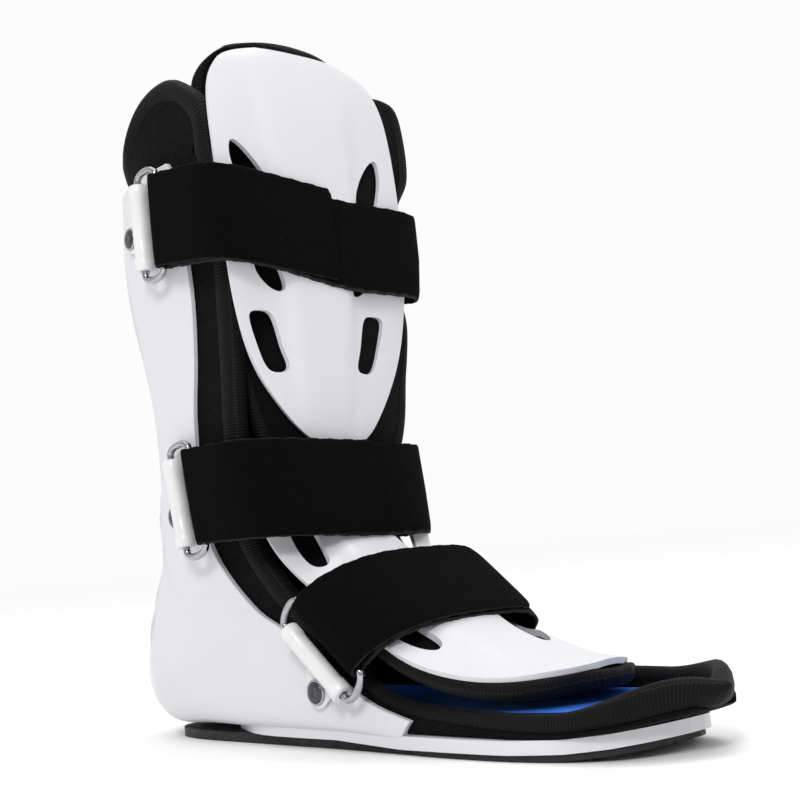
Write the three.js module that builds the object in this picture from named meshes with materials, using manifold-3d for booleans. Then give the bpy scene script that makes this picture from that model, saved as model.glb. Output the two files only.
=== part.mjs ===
// Foot drop brace: a rigid walker boot with a moulded rear shell, a padded liner, two front
// shells and three straps on rings. Millimetres, +Z up, toes towards -Y, near side at -X.
// The ankle axis is at y = 0 while the pieces are made; the whole is then centred on its base.
import * as THREE from 'three';
import { mergeVertices } from 'three/addons/utils/BufferGeometryUtils.js';
import Module from 'manifold-3d';

const wasm = await Module();
wasm.setup();

// Driving dimensions: the moulded rear shell
const wingHeight = 281;
const heelReach = 89;
const plateReach = 233;
const calfHalf = 62;
const soleHalf = 45;
const shellWall = 3;
const plateThick = 5.5;
const heelRubber = 4.6;
const foreRubber = 2.4;
const toeSpring = 5;

// Driving dimensions: the padded liner and what lies in it
const linerHeight = 326;
const linerReach = 249;
const padThick = 8;
const padFloor = 3.2;
const bindingWide = 11;
const bindingThick = 10;
const insoleThick = 4;

// Driving dimensions: the tongue and the two front shells
const tongueHeight = 347;
const tongueHalf = 48;
const tongueThick = 8;
const shieldHalf = 61;
const lipHalf = 50;
const frontWall = 2.5;

// Driving dimensions: straps, rings, keepers and rivets
const strapWide = 46;
const strapThick = 2.2;
const wireRadius = 1.8;
const ringSpan = 15;
const ringLength = 54.5;
const keeperRadius = 4.9;
const keeperLength = 43;
const tabThick = 1.6;
const rivetRadius = 5.6;
const rivetRise = 1.6;

// Clearance left between pieces that touch
const gap = 0.35;

const soleTop = heelRubber + gap;

// Materials
const material = (color, roughness, metalness = 0) =>
  new THREE.MeshStandardMaterial({ color, roughness, metalness });
const shellWhite = material(0xe9e9ee, 0.32);
const keeperWhite = material(0xf4f4f2, 0.25);
const foamBlack = material(0x17171a, 0.85);
const bindingBlack = material(0x111113, 0.75);
const strapBlack = material(0x0d0d0f, 0.95);
const foamBlue = material(0x1f4fa8, 0.9);
const rubberBlack = material(0x1b1b1d, 0.8);
const chrome = material(0xd8d8dc, 0.15, 1);
const gunmetal = material(0x55585c, 0.35, 1);

// Turns rows of numbers into records with named columns.
const table = (names, rows) => {
  const keys = names.split(' ');
  return rows.map((row) => Object.fromEntries(keys.map((key, i) => [key, row[i]])));
};

const lerp = THREE.MathUtils.lerp;
const clamp = THREE.MathUtils.clamp;

// Reads a column of a table at a position, by straight lines between its rows.
const along = (rows, key, column, at) => {
  const rising = rows[rows.length - 1][key] > rows[0][key];
  const next = rows.findIndex((row) => (rising ? row[key] >= at : row[key] <= at));
  if (next === 0) return rows[0][column];
  if (next < 0) return rows[rows.length - 1][column];
  const a = rows[next - 1];
  const b = rows[next];
  return lerp(a[column], b[column], (at - a[key]) / (b[key] - a[key]));
};

const geometryFrom = (positions, faces) => {
  const geometry = new THREE.BufferGeometry();
  geometry.setAttribute('position', new THREE.Float32BufferAttribute(positions, 3));
  geometry.setIndex(faces);
  return geometry;
};

// Closes two matching grids of points, an outer and an inner skin, into one wall.
const wallBetween = (outer, inner, closed = false) => {
  const rows = outer.length;
  const columns = outer[0].length;
  const positions = [];
  for (const grid of [outer, inner]) {
    for (const row of grid) {
      for (const point of row) positions.push(point.x, point.y, point.z);
    }
  }
  const out = (i, j) => (i % rows) * columns + j;
  const inn = (i, j) => rows * columns + out(i, j);
  const faces = [];
  const quad = (a, b, c, d) => faces.push(a, b, c, a, c, d);
  const lastRow = closed ? rows : rows - 1;
  for (let i = 0; i < lastRow; i += 1) {
    for (let j = 0; j < columns - 1; j += 1) {
      quad(out(i, j), out(i, j + 1), out(i + 1, j + 1), out(i + 1, j));
      quad(inn(i, j), inn(i + 1, j), inn(i + 1, j + 1), inn(i, j + 1));
    }
    const last = columns - 1;
    quad(out(i, 0), out(i + 1, 0), inn(i + 1, 0), inn(i, 0));
    quad(out(i, last), inn(i, last), inn(i + 1, last), out(i + 1, last));
  }
  if (!closed) {
    const end = rows - 1;
    for (let j = 0; j < columns - 1; j += 1) {
      quad(out(0, j), inn(0, j), inn(0, j + 1), out(0, j + 1));
      quad(out(end, j), out(end, j + 1), inn(end, j + 1), inn(end, j));
    }
  }
  return outwards(geometryFrom(positions, faces));
};

const signedVolume = (geometry) => {
  const p = geometry.getAttribute('position');
  const index = geometry.getIndex();
  const a = new THREE.Vector3();
  const b = new THREE.Vector3();
  const c = new THREE.Vector3();
  let volume = 0;
  for (let i = 0; i < index.count; i += 3) {
    a.fromBufferAttribute(p, index.getX(i));
    b.fromBufferAttribute(p, index.getX(i + 1));
    c.fromBufferAttribute(p, index.getX(i + 2));
    volume += a.dot(b.cross(c)) / 6;
  }
  return volume;
};

// Turns every face the other way where the solid came out inside out.
const outwards = (geometry) => {
  if (signedVolume(geometry) > 0) return geometry;
  const index = geometry.getIndex();
  for (let i = 0; i < index.count; i += 3) {
    const keep = index.getX(i);
    index.setX(i, index.getX(i + 1));
    index.setX(i + 1, keep);
  }
  return geometry;
};

const toSolid = (geometry) => {
  const bare = geometry.clone();
  bare.deleteAttribute('normal');
  bare.deleteAttribute('uv');
  const merged = mergeVertices(bare, 1e-4);
  return new wasm.Manifold(new wasm.Mesh({
    numProp: 3,
    vertProperties: new Float32Array(merged.getAttribute('position').array),
    triVerts: new Uint32Array(merged.getIndex().array),
  }));
};

const fromSolid = (solid) => {
  const mesh = solid.getMesh();
  return geometryFrom(Array.from(mesh.vertProperties), Array.from(mesh.triVerts));
};

// The trough of the boot. Each station is a U in a plane that holds the X axis: `back` and
// `low` place its middle, `front` and `high` its two rims, `calf` and `sole` mix its half
// width, `curve` is the share of its depth that is round, `square` how boxy that is, `lip`
// the half width at the rim, `reach` how far the liner runs past the shell's rim.
// Lengths behind the ankle are shares of heelReach, those before it and reach of plateReach,
// heights of wingHeight above the sole.
const stationNames = 'back low front high calf sole curve square lip reach pad';
const trough = table(stationNames, [
  [0.72, 0.975, -0.03, 1.000, 1.00, 0.00, 0.88, 2.8, 0.99, 0.120, 1.0],
  [0.73, 0.960, -0.045, 0.972, 1.00, 0.00, 0.88, 2.8, 0.99, 0.127, 1.0],
  [0.76, 0.915, -0.058, 0.922, 1.00, 0.00, 0.88, 2.8, 0.99, 0.129, 1.0],
  [0.775, 0.840, -0.067, 0.840, 0.99, 0.00, 0.88, 2.8, 0.99, 0.123, 1.0],
  [0.73, 0.745, -0.067, 0.745, 0.96, 0.00, 0.88, 2.8, 0.99, 0.112, 1.0],
  [0.645, 0.640, -0.047, 0.640, 0.92, 0.00, 0.88, 2.8, 0.99, 0.116, 1.0],
  [0.585, 0.550, -0.022, 0.550, 0.89, 0.00, 0.88, 2.8, 0.99, 0.125, 1.0],
  [0.580, 0.435, -0.015, 0.435, 0.87, 0.00, 0.88, 2.8, 0.99, 0.125, 1.0],
  [0.64, 0.335, -0.020, 0.352, 0.85, 0.00, 0.88, 2.8, 0.99, 0.120, 1.0],
  [0.74, 0.253, -0.035, 0.307, 0.82, 0.00, 0.88, 2.8, 0.99, 0.112, 1.0],
  [0.88, 0.182, -0.070, 0.264, 0.80, 0.00, 0.88, 2.9, 0.99, 0.109, 1.0],
  [0.995, 0.115, -0.117, 0.224, 0.55, 0.33, 0.86, 3.0, 0.98, 0.101, 1.0],
  [0.98, 0.060, -0.157, 0.200, 0.30, 0.67, 0.84, 3.2, 0.98, 0.087, 0.9],
  [0.86, 0.022, -0.197, 0.181, 0.15, 0.84, 0.80, 3.6, 0.98, 0.073, 0.7],
  [0.66, 0.004, -0.243, 0.160, 0.00, 1.04, 0.72, 4.0, 0.98, 0.062, 0.5],
  [0.30, 0.008, -0.303, 0.128, 0.00, 1.04, 0.62, 4.6, 0.98, 0.053, 0.4],
  [-0.080, 0.008, -0.374, 0.088, 0.00, 1.04, 0.60, 5.0, 0.98, 0.042, 0.4],
  [-0.330, 0.009, -0.445, 0.056, 0.00, 1.02, 0.62, 6.0, 0.98, 0.028, 0.4],
  [-0.500, 0.009, -0.530, 0.034, 0.00, 1.00, 0.70, 7.0, 0.98, 0.017, 0.4],
]);

// The liner goes on past the shell, over the footplate and round the toes: `at` is a share of
// linerReach, `high` the rim over the liner's floor as a share of padThick, and `low` how far
// up that rim its middle stands.
const toe = table('at low high sole square', [
  [0.605, 0.00, 0.78, 0.94, 7.0],
  [0.741, 0.00, 0.64, 0.92, 7.0],
  [0.848, 0.02, 0.60, 0.83, 5.0],
  [0.912, 0.08, 0.62, 0.66, 3.4],
  [0.951, 0.30, 0.66, 0.47, 2.6],
  [0.975, 0.80, 0.72, 0.28, 2.0],
]);

const reachOf = (share) => share * (share > 0 ? heelReach : plateReach);
const heightOf = (share) => soleTop + share * (wingHeight - soleTop);

// Plan of the footplate: shares of plateReach and soleHalf. `rise` lifts the toe, as a share
// of toeSpring, `drop` lowers the forefoot, as a share of the step in the rubber, and `thick`
// is a share of plateThick.
const platePlan = table('at half rise drop thick', [
  [-0.05, 0.60, 0, 0, 0.85],
  [0.10, 0.92, 0, 0, 0.85],
  [0.33, 0.97, 0, 0, 0.90],
  [0.50, 0.99, 0, 1, 1],
  [0.62, 1.00, 0, 1, 1],
  [0.75, 0.97, 0, 1, 1],
  [0.85, 0.85, 0.12, 1, 1],
  [0.92, 0.68, 0.42, 1, 1],
  [0.965, 0.46, 0.72, 1, 1],
  [0.99, 0.26, 0.92, 1, 1],
  [1.0, 0.10, 1.0, 1, 1],
]);

// Height of the footplate's underside at a place along the foot.
const underPlate = (y) => {
  const at = -y / plateReach;
  const step = along(platePlan, 'at', 'drop', at) * (heelRubber - foreRubber);
  return soleTop - step + along(platePlan, 'at', 'rise', at) * toeSpring;
};
const floorOfLiner = (y) => underPlate(y) + plateThick + gap;
const curvePoints = 5;
const rimSteps = 2;

// One U of points from the near rim over the middle to the far rim.
const uRow = ({ base, rim, half, depth, square, rimHalf, extra, steps }) => {
  const length = base.distanceTo(rim);
  const way = rim.clone().sub(base).divideScalar(length);
  const near = [];
  const put = (x, s) => near.push(base.clone().addScaledVector(way, s).setX(x));
  const rims = steps.map((share) => share * extra).reverse();
  for (const more of rims) put(rimHalf, length + more);
  for (let i = rimSteps; i > 0; i -= 1) {
    put(lerp(half, rimHalf, i / rimSteps), lerp(depth, length, i / rimSteps));
  }
  for (let i = curvePoints; i > 0; i -= 1) {
    const turn = (i / curvePoints) * (Math.PI / 2);
    const side = half * Math.sin(turn) ** (2 / square);
    put(side, depth * (1 - Math.cos(turn) ** (2 / square)));
  }
  const middle = base.clone().setX(0);
  const far = near.map((p) => p.clone()).reverse();
  near.forEach((p) => p.setX(-p.x));
  return [...near, middle, ...far];
};

// Middle of a station, and the inward normal of the line through its neighbours' middles.
const middleOf = (st) => {
  const y = reachOf(st.back);
  return new THREE.Vector3(0, y, heightOf(st.low) - soleTop + underPlate(y));
};
const normalAt = (i) => {
  const before = middleOf(trough[Math.max(i - 1, 0)]);
  const run = middleOf(trough[Math.min(i + 1, trough.length - 1)]).sub(before);
  return new THREE.Vector3(0, run.z, -run.y).normalize();
};
const steepest = 0.25;
const stationRow = (i, inset, floorInset, extra, steps) => {
  const st = trough[i];
  const base = middleOf(st);
  const rim = new THREE.Vector3(0, reachOf(st.front), heightOf(st.high));
  const way = rim.clone().sub(base).normalize();
  const inwards = floorInset / Math.max(way.dot(normalAt(i)), steepest);
  const depth = base.distanceTo(rim) * st.curve - inwards;
  base.addScaledVector(way, inwards);
  const half = st.calf * calfHalf + st.sole * soleHalf - inset;
  const rimHalf = (half + inset) * st.lip - inset;
  return uRow({ base, rim, half, depth, square: st.square, rimHalf, extra, steps });
};

// Moves a row of the leg up by a lobe on each side, highest near the ankle axis.
const lobeWidth = 0.34;
const lobeBack = 0.05;
const raise = (row, rise) => row.map((p) => {
  const off = (p.y / heelReach - lobeBack) / lobeWidth;
  return p.clone().setZ(p.z + rise * Math.exp(-off * off));
});

const shellRows = (inset) => trough.map((st, i) => stationRow(i, inset, inset, 0, []));

// Footplate: a slab under the whole foot that turns up at the toes.
const slabAcross = 4;
const slab = (rows) => {
  const top = [];
  const bottom = [];
  for (const { y, half, lowHalf = half, low, high } of rows) {
    const topRow = [];
    const bottomRow = [];
    for (let j = 0; j <= slabAcross; j += 1) {
      const u = -Math.cos((j / slabAcross) * Math.PI);
      topRow.push(new THREE.Vector3(u * half, y, high));
      bottomRow.push(new THREE.Vector3(u * lowHalf, y, low));
    }
    top.push(topRow);
    bottom.push(bottomRow);
  }
  return wallBetween(top, bottom);
};

const footplate = () => slab(platePlan.map((p) => {
  const y = -p.at * plateReach;
  const low = underPlate(y);
  return { y, half: p.half * soleHalf, low, high: low + p.thick * plateThick };
}));

const rearShell = () => {
  const cup = toSolid(wallBetween(shellRows(0), shellRows(shellWall)));
  return fromSolid(cup.add(toSolid(footplate())));
};

// Rubber under the heel and the forefoot, one piece, thinner ahead of the arch.
const solePlan = table('at half', [
  [-0.28, 0.30],
  [-0.265, 0.52],
  [-0.22, 0.70],
  [-0.12, 0.80],
  [0.05, 0.82],
  [0.33, 0.85],
  [0.50, 0.90],
  [0.60, 0.95],
  [0.75, 0.93],
  [0.85, 0.82],
  [0.92, 0.65],
  [0.955, 0.45],
  [0.97, 0.26],
]);

const outsole = () => slab(solePlan.map((p) => {
  const y = -p.at * plateReach;
  const rise = p.at > 0.5 ? along(platePlan, 'at', 'rise', p.at) * toeSpring : 0;
  return { y, half: p.half * soleHalf, low: rise, high: underPlate(y) - gap };
}));

// The padded liner
const footBinding = 0.55;
const bindingAt = (y, z) => {
  const low = clamp((0.2 * linerHeight - z) / (0.1 * linerHeight), 0, 1);
  return bindingWide * lerp(1, footBinding, low);
};
const rimMargin = 5;
const lobeRise = linerHeight - wingHeight - bindingWide - rimMargin;
const topReach = 0.084;
const linerRows = (skin) => {
  const inset = shellWall + gap + skin * padThick;
  const steps = [0.5, 1];
  const rows = [];
  const rimRow = stationRow(0, inset, inset, topReach * plateReach, steps);
  for (const share of [1, 0.5]) {
    rows.push(raise(rimRow, lobeRise * share).map((p) => p.setZ(p.z + rimMargin * share)));
  }
  trough.forEach((st, i) => {
    const pad = lerp(padFloor, padThick, clamp((st.pad - 0.4) / 0.6, 0, 1));
    const floor = shellWall + gap + skin * pad;
    const past = st.reach * plateReach - bindingAt(0, heightOf(st.high));
    rows.push(stationRow(i, inset, floor, Math.max(past, 1), steps));
  });
  for (const st of toe) {
    const y = -st.at * linerReach;
    const high = st.high * padThick;
    const back = y + skin * padThick * st.low;
    const low = st.low * high + skin * padFloor * (1 - st.low);
    const base = new THREE.Vector3(0, back, floorOfLiner(y) + low);
    const rim = new THREE.Vector3(0, back, floorOfLiner(y) + high);
    const depth = (high - low) * 0.7;
    const half = st.sole * soleHalf - skin * padThick;
    const square = st.square;
    rows.push(uRow({ base, rim, half, depth, square, rimHalf: half, extra: 0.5, steps }));
  }
  return rows;
};

const linerOuter = linerRows(0);
const linerInner = linerRows(1);

// Closed or capped sweep of a list of equal sections, each a closed ring of points.
const sweep = (sections, closed) => {
  const sides = sections[0].length;
  const positions = [];
  for (const section of sections) {
    for (const point of section) positions.push(point.x, point.y, point.z);
  }
  const at = (i, j) => (i % sections.length) * sides + (j % sides);
  const faces = [];
  const last = closed ? sections.length : sections.length - 1;
  for (let i = 0; i < last; i += 1) {
    for (let j = 0; j < sides; j += 1) {
      faces.push(at(i, j), at(i + 1, j), at(i + 1, j + 1));
      faces.push(at(i, j), at(i + 1, j + 1), at(i, j + 1));
    }
  }
  if (!closed) {
    for (let j = 1; j < sides - 1; j += 1) {
      faces.push(at(0, 0), at(0, j), at(0, j + 1));
      faces.push(at(last, 0), at(last, j + 1), at(last, j));
    }
  }
  return outwards(geometryFrom(positions, faces));
};

// The binding: a padded roll that runs all round the liner's rim, half on each side of it.
const bindingSides = 6;
const rimLoop = () => {
  const stops = [];
  const rows = linerOuter.length;
  const columns = linerOuter[0].length;
  const stop = (i, j, inwardRow, inwardColumn) => {
    const out = linerOuter[i][j];
    const inn = linerInner[i][j];
    const ahead = new THREE.Vector3();
    if (inwardColumn) ahead.add(out.clone().sub(linerOuter[i][j + inwardColumn]).normalize());
    if (inwardRow) ahead.add(out.clone().sub(linerOuter[i + inwardRow][j]).normalize());
    stops.push({ mid: out.clone().add(inn).multiplyScalar(0.5), ahead, across: out.clone().sub(inn) });
  };
  for (let i = 0; i < rows; i += 1) {
    stop(i, 0, i === 0 ? 1 : i === rows - 1 ? -1 : 0, 1);
  }
  for (let j = 1; j < columns - 1; j += 1) stop(rows - 1, j, -1, 0);
  for (let i = rows - 1; i >= 0; i -= 1) {
    stop(i, columns - 1, i === 0 ? 1 : i === rows - 1 ? -1 : 0, -1);
  }
  for (let j = columns - 2; j > 0; j -= 1) stop(0, j, 1, 0);
  return stops;
};

const binding = () => {
  const loop = rimLoop();
  const sections = loop.map(({ mid, ahead, across }) => {
    const side = across.clone().normalize();
    const out = ahead.clone().addScaledVector(side, -ahead.dot(side));
    const wide = bindingAt(mid.y, mid.z);
    const thick = bindingThick * lerp(1, wide / bindingWide, 0.6);
    const stretch = Math.min(out.length(), Math.SQRT2);
    out.normalize();
    const points = [];
    for (let k = 0; k < bindingSides; k += 1) {
      const turn = ((k + 0.5) / bindingSides) * Math.PI * 2;
      const away = (Math.sign(Math.cos(turn)) * Math.abs(Math.cos(turn)) ** 0.6 + 1) * 0.5;
      const over = Math.sin(turn) * thick * 0.5;
      points.push(mid.clone()
        .addScaledVector(out, stretch * (gap + away * wide))
        .addScaledVector(side, over));
    }
    return points;
  });
  return sweep(sections, true);
};

// The insole lies on the liner's floor; its underside is narrower, to clear the corner.
const insolePlan = table('at half', [
  [-0.20, 0.42],
  [-0.14, 0.60],
  [-0.02, 0.68],
  [0.16, 0.70],
  [0.317, 0.71],
  [0.48, 0.72],
  [0.65, 0.745],
  [0.78, 0.725],
  [0.85, 0.60],
  [0.89, 0.43],
  [0.915, 0.29],
  [0.928, 0.15],
]);
const insoleLift = 0.9;
const insoleTaper = 0.72;
const insole = () => slab(insolePlan.map((p) => {
  const y = -p.at * linerReach;
  const low = floorOfLiner(y) + padFloor + insoleLift;
  const half = p.half * soleHalf;
  return { y, half, lowHalf: half * insoleTaper, low, high: low + insoleThick };
}));

// Centre line that both front shells follow, from the top of the tongue to the toes: forward
// in shares of plateReach, `high` in shares of wingHeight up to the ankle's bend, and `leg` in
// shares of the rest of the way up to tongueHeight.
const bendHigh = 0.409;
const frontLine = table('fore high leg', [
  [0.150, bendHigh, 1.000],
  [0.188, bendHigh, 0.918],
  [0.210, bendHigh, 0.798],
  [0.223, bendHigh, 0.647],
  [0.225, bendHigh, 0.431],
  [0.219, bendHigh, 0.216],
  [0.2165, bendHigh, 0.086],
  [0.221, bendHigh, 0],
  [0.242, 0.3495, 0],
  [0.298, 0.3038, 0],
  [0.376, 0.2655, 0],
  [0.455, 0.2247, 0],
  [0.537, 0.1852, 0],
  [0.631, 0.1544, 0],
  [0.738, 0.1321, 0],
  [0.884, 0.1161, 0],
]);
const bendHeight = bendHigh * wingHeight;
const frontCurve = new THREE.CatmullRomCurve3(frontLine.map((p) => {
  const z = p.high * wingHeight + p.leg * (tongueHeight - bendHeight);
  return new THREE.Vector3(0, -p.fore * plateReach, z);
}), false, 'centripetal');
const lineSteps = 400;
frontCurve.arcLengthDivisions = lineSteps;

// Places along the line: 0 is the top, `bendAt` the ankle's bend and 1 the toe end.
const bendAt = 0.555;
let bendShare = 0;
while (frontCurve.getPointAt(bendShare).z > bendHeight) bendShare += 1 / lineSteps;
const alongLine = (at) => (at < bendAt
  ? (at / bendAt) * bendShare
  : lerp(bendShare, 1, (at - bendAt) / (1 - bendAt)));
const frameAt = (at) => {
  const tangent = frontCurve.getTangentAt(alongLine(at));
  const normal = new THREE.Vector3(0, tangent.z, -tangent.y);
  return { centre: frontCurve.getPointAt(alongLine(at)), normal };
};

// A sheet across the front line. Each row has its place along the line, its half width, how
// far its sides fall back and how late they turn.
const sheetRows = (rows, half, acrossCount) => rows.map((row) => {
  const { centre, normal } = frameAt(row.at);
  const points = [];
  for (let j = -acrossCount; j <= acrossCount; j += 1) {
    const u = Math.sin((j / acrossCount) * Math.PI * 0.5);
    const back = row.fall * half * Math.abs(u) ** row.late;
    const place = centre.clone().addScaledVector(normal, -back);
    points.push(place.setX(u * row.half * half));
  }
  return points;
});

// Moves a grid inwards along its own normals.
const offsetGrid = (grid, distance) => grid.map((row, i) => row.map((point, j) => {
  const up = grid[Math.max(i - 1, 0)][j];
  const down = grid[Math.min(i + 1, grid.length - 1)][j];
  const left = row[Math.max(j - 1, 0)];
  const right = row[Math.min(j + 1, row.length - 1)];
  const normal = down.clone().sub(up).cross(right.clone().sub(left)).normalize();
  return point.clone().addScaledVector(normal, distance);
}));

const sheetNames = 'at half fall late';
const tongueRows = table(sheetNames, [
  [0.000, 0.60, 0.12, 3.0],
  [0.012, 0.80, 0.22, 3.0],
  [0.030, 0.92, 0.34, 3.2],
  [0.070, 1.00, 0.46, 3.6],
  [0.150, 1.02, 0.52, 4.0],
  [0.260, 1.00, 0.52, 4.2],
  [0.370, 0.96, 0.48, 4.2],
  [0.450, 0.88, 0.38, 4.0],
  [0.500, 0.80, 0.28, 3.4],
  [0.530, 0.77, 0.24, 3.0],
  [0.555, 0.76, 0.22, 2.9],
  [0.580, 0.76, 0.22, 2.7],
  [0.612, 0.77, 0.23, 2.5],
  [0.655, 0.79, 0.24, 2.3],
  [0.705, 0.82, 0.25, 2.2],
  [0.760, 0.88, 0.25, 2.2],
  [0.820, 0.91, 0.22, 2.2],
  [0.880, 0.86, 0.18, 2.2],
  [0.930, 0.75, 0.13, 2.2],
  [0.965, 0.58, 0.08, 2.2],
  [0.988, 0.38, 0.04, 2.2],
  [0.998, 0.18, 0.01, 2.2],
]);
const tongueUnder = frontWall + gap + 0.35;
const tongue = () => {
  const line = sheetRows(tongueRows, tongueHalf, 5);
  const outer = offsetGrid(line, -tongueUnder);
  return wallBetween(outer, offsetGrid(line, -tongueUnder - tongueThick));
};

const shieldRows = table(sheetNames, [
  [0.010, 0.36, 0.02, 2.6],
  [0.022, 0.60, 0.05, 2.6],
  [0.040, 0.76, 0.07, 2.8],
  [0.070, 0.90, 0.09, 3.0],
  [0.110, 0.985, 0.10, 3.2],
  [0.170, 1.00, 0.10, 3.4],
  [0.240, 0.99, 0.09, 3.5],
  [0.310, 0.96, 0.085, 3.5],
  [0.370, 0.88, 0.08, 3.4],
  [0.415, 0.76, 0.07, 3.2],
  [0.455, 0.58, 0.05, 3.0],
  [0.485, 0.39, 0.03, 2.8],
  [0.502, 0.20, 0.01, 2.6],
]);
const lipRows = table(sheetNames, [
  [0.512, 0.86, 0.12, 3.0],
  [0.530, 0.96, 0.15, 3.0],
  [0.555, 1.00, 0.17, 2.9],
  [0.580, 0.98, 0.20, 2.7],
  [0.612, 0.92, 0.22, 2.5],
  [0.655, 0.87, 0.24, 2.3],
  [0.705, 0.85, 0.24, 2.2],
  [0.760, 0.87, 0.24, 2.2],
  [0.820, 0.90, 0.21, 2.2],
  [0.875, 0.85, 0.17, 2.2],
  [0.920, 0.74, 0.12, 2.2],
  [0.955, 0.58, 0.07, 2.2],
  [0.980, 0.38, 0.04, 2.2],
  [0.995, 0.17, 0.01, 2.2],
]);

// Vents and slots. Each is a closed outline: `at` is a place along the front line, `out` a
// share of the shell's half width.
const outlineNames = 'at out';
const shieldVents = [
  table(outlineNames, [
    [0.155, 0.74], [0.162, 0.63], [0.192, 0.50], [0.212, 0.44], [0.222, 0.50], [0.224, 0.62],
    [0.200, 0.71], [0.172, 0.765],
  ]),
  table(outlineNames, [
    [0.300, 0.62], [0.296, 0.50], [0.308, 0.44], [0.324, 0.40], [0.334, 0.44], [0.328, 0.54],
    [0.314, 0.63],
  ]),
  table(outlineNames, [
    [0.352, 0.64], [0.356, 0.47], [0.372, 0.42], [0.410, 0.39], [0.421, 0.43], [0.415, 0.56],
    [0.386, 0.65],
  ]),
];
const lipSlots = [
  table(outlineNames, [
    [0.565, 0.72], [0.565, 0.60], [0.600, 0.50], [0.635, 0.44], [0.655, 0.46], [0.650, 0.58],
    [0.610, 0.70],
  ]),
  table(outlineNames, [
    [0.685, 0.66], [0.700, 0.58], [0.750, 0.54], [0.790, 0.58], [0.800, 0.68], [0.775, 0.74],
    [0.730, 0.74],
  ]),
];

// The shield sits a little askew: below `askewFrom` its vents lie further to the near side.
const askew = 0.35;
const askewFrom = 0.22;
const cutterDepth = 30;
const cutter = (outline, half, side, slide) => {
  const inner = [];
  const outer = [];
  for (const { at, out } of outline) {
    const { centre, normal } = frameAt(at);
    const place = centre.setX((side * out - slide * Math.max(at - askewFrom, 0)) * half);
    outer.push(place.clone().addScaledVector(normal, cutterDepth * 0.3));
    inner.push(place.clone().addScaledVector(normal, -cutterDepth * 0.7));
  }
  return toSolid(sweep([outer, inner], false));
};

const frontShell = (rows, half, holes, slide = 0) => {
  const outer = sheetRows(rows, half, 5);
  let solid = toSolid(wallBetween(outer, offsetGrid(outer, -frontWall)));
  for (const outline of holes) {
    for (const side of [-1, 1]) solid = solid.subtract(cutter(outline, half, side, slide));
  }
  return fromSolid(solid);
};

// The straps. Each lies in its own frame. `fore` and `high` place the middle of its two ring
// bars, `lean` tilts its width from upright, and `bars` is the bars' distance from the middle.
// `archFore` and `archUp` say how far it stands over them, `square` how boxy its arch is,
// `slant` lowers it towards the far side, and `end` is where the upper layer ends, as a share
// of the way from the middle to the far bar. `rivetUp` and `rivetBack` place the rivet.
// Forward lengths are shares of plateReach, heights of wingHeight, bars of calfHalf, and the
// rivet's place of keeperLength.
const strapNames = 'name fore high lean bars archFore archUp square slant end rivetUp rivetBack';
const strapTable = table(strapNames, [
  ['calf', 0.030, 0.872, 0.03, 1.090, 0.2038, -0.0186, 8.0, 0.095, 0.06, 0, 0.42],
  ['ankle', 0.042, 0.413, 0.17, 0.955, 0.2142, 0, 5.6, 0.035, 0.40, -0.093, 0.256],
  ['instep', 0.372, 0.1815, 0.868, 0.8435, 0.0934, 0.0626, 2.6, 0, 0.55, -0.116, 0.314],
]).map((row) => {
  const climb = new THREE.Vector3(0, -row.archFore * plateReach, row.archUp * wingHeight);
  return {
    ...row,
    fore: row.fore * plateReach,
    high: row.high * wingHeight,
    bars: row.bars * calfHalf,
    arch: climb.length(),
    over: climb.normalize(),
    rivetUp: row.rivetUp * keeperLength,
    rivetBack: row.rivetBack * keeperLength,
  };
});
const layerStep = strapThick + gap;
const barReach = wireRadius + gap + strapThick / 2;
const archPoints = 9;
const turnPoints = 4;

const strapFrame = (strap) => {
  const along = new THREE.Vector3(0, Math.sin(strap.lean), Math.cos(strap.lean));
  const out = new THREE.Vector3(0, -Math.cos(strap.lean), Math.sin(strap.lean));
  const place = (x, rise, slip = 0) => new THREE.Vector3(0, -strap.fore, strap.high)
    .addScaledVector(rise > 0 ? strap.over : out, rise)
    .addScaledVector(along, slip - strap.slant * x)
    .setX(x);
  return { along, out, place };
};

// Points of one layer, from the side `from` of the middle to `to`, both shares of its reach.
const archPath = (strap, reach, lift, from, to, count) => {
  const points = [];
  for (let i = 0; i <= count; i += 1) {
    const share = lerp(from, to, i / count);
    const turn = Math.abs(share) * Math.PI * 0.5;
    const x = Math.sign(share) * reach * Math.sin(turn) ** (2 / strap.square);
    const rise = (strap.arch + lift) * Math.cos(turn) ** (2 / strap.square);
    points.push({ x, rise });
  }
  return points;
};

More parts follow.
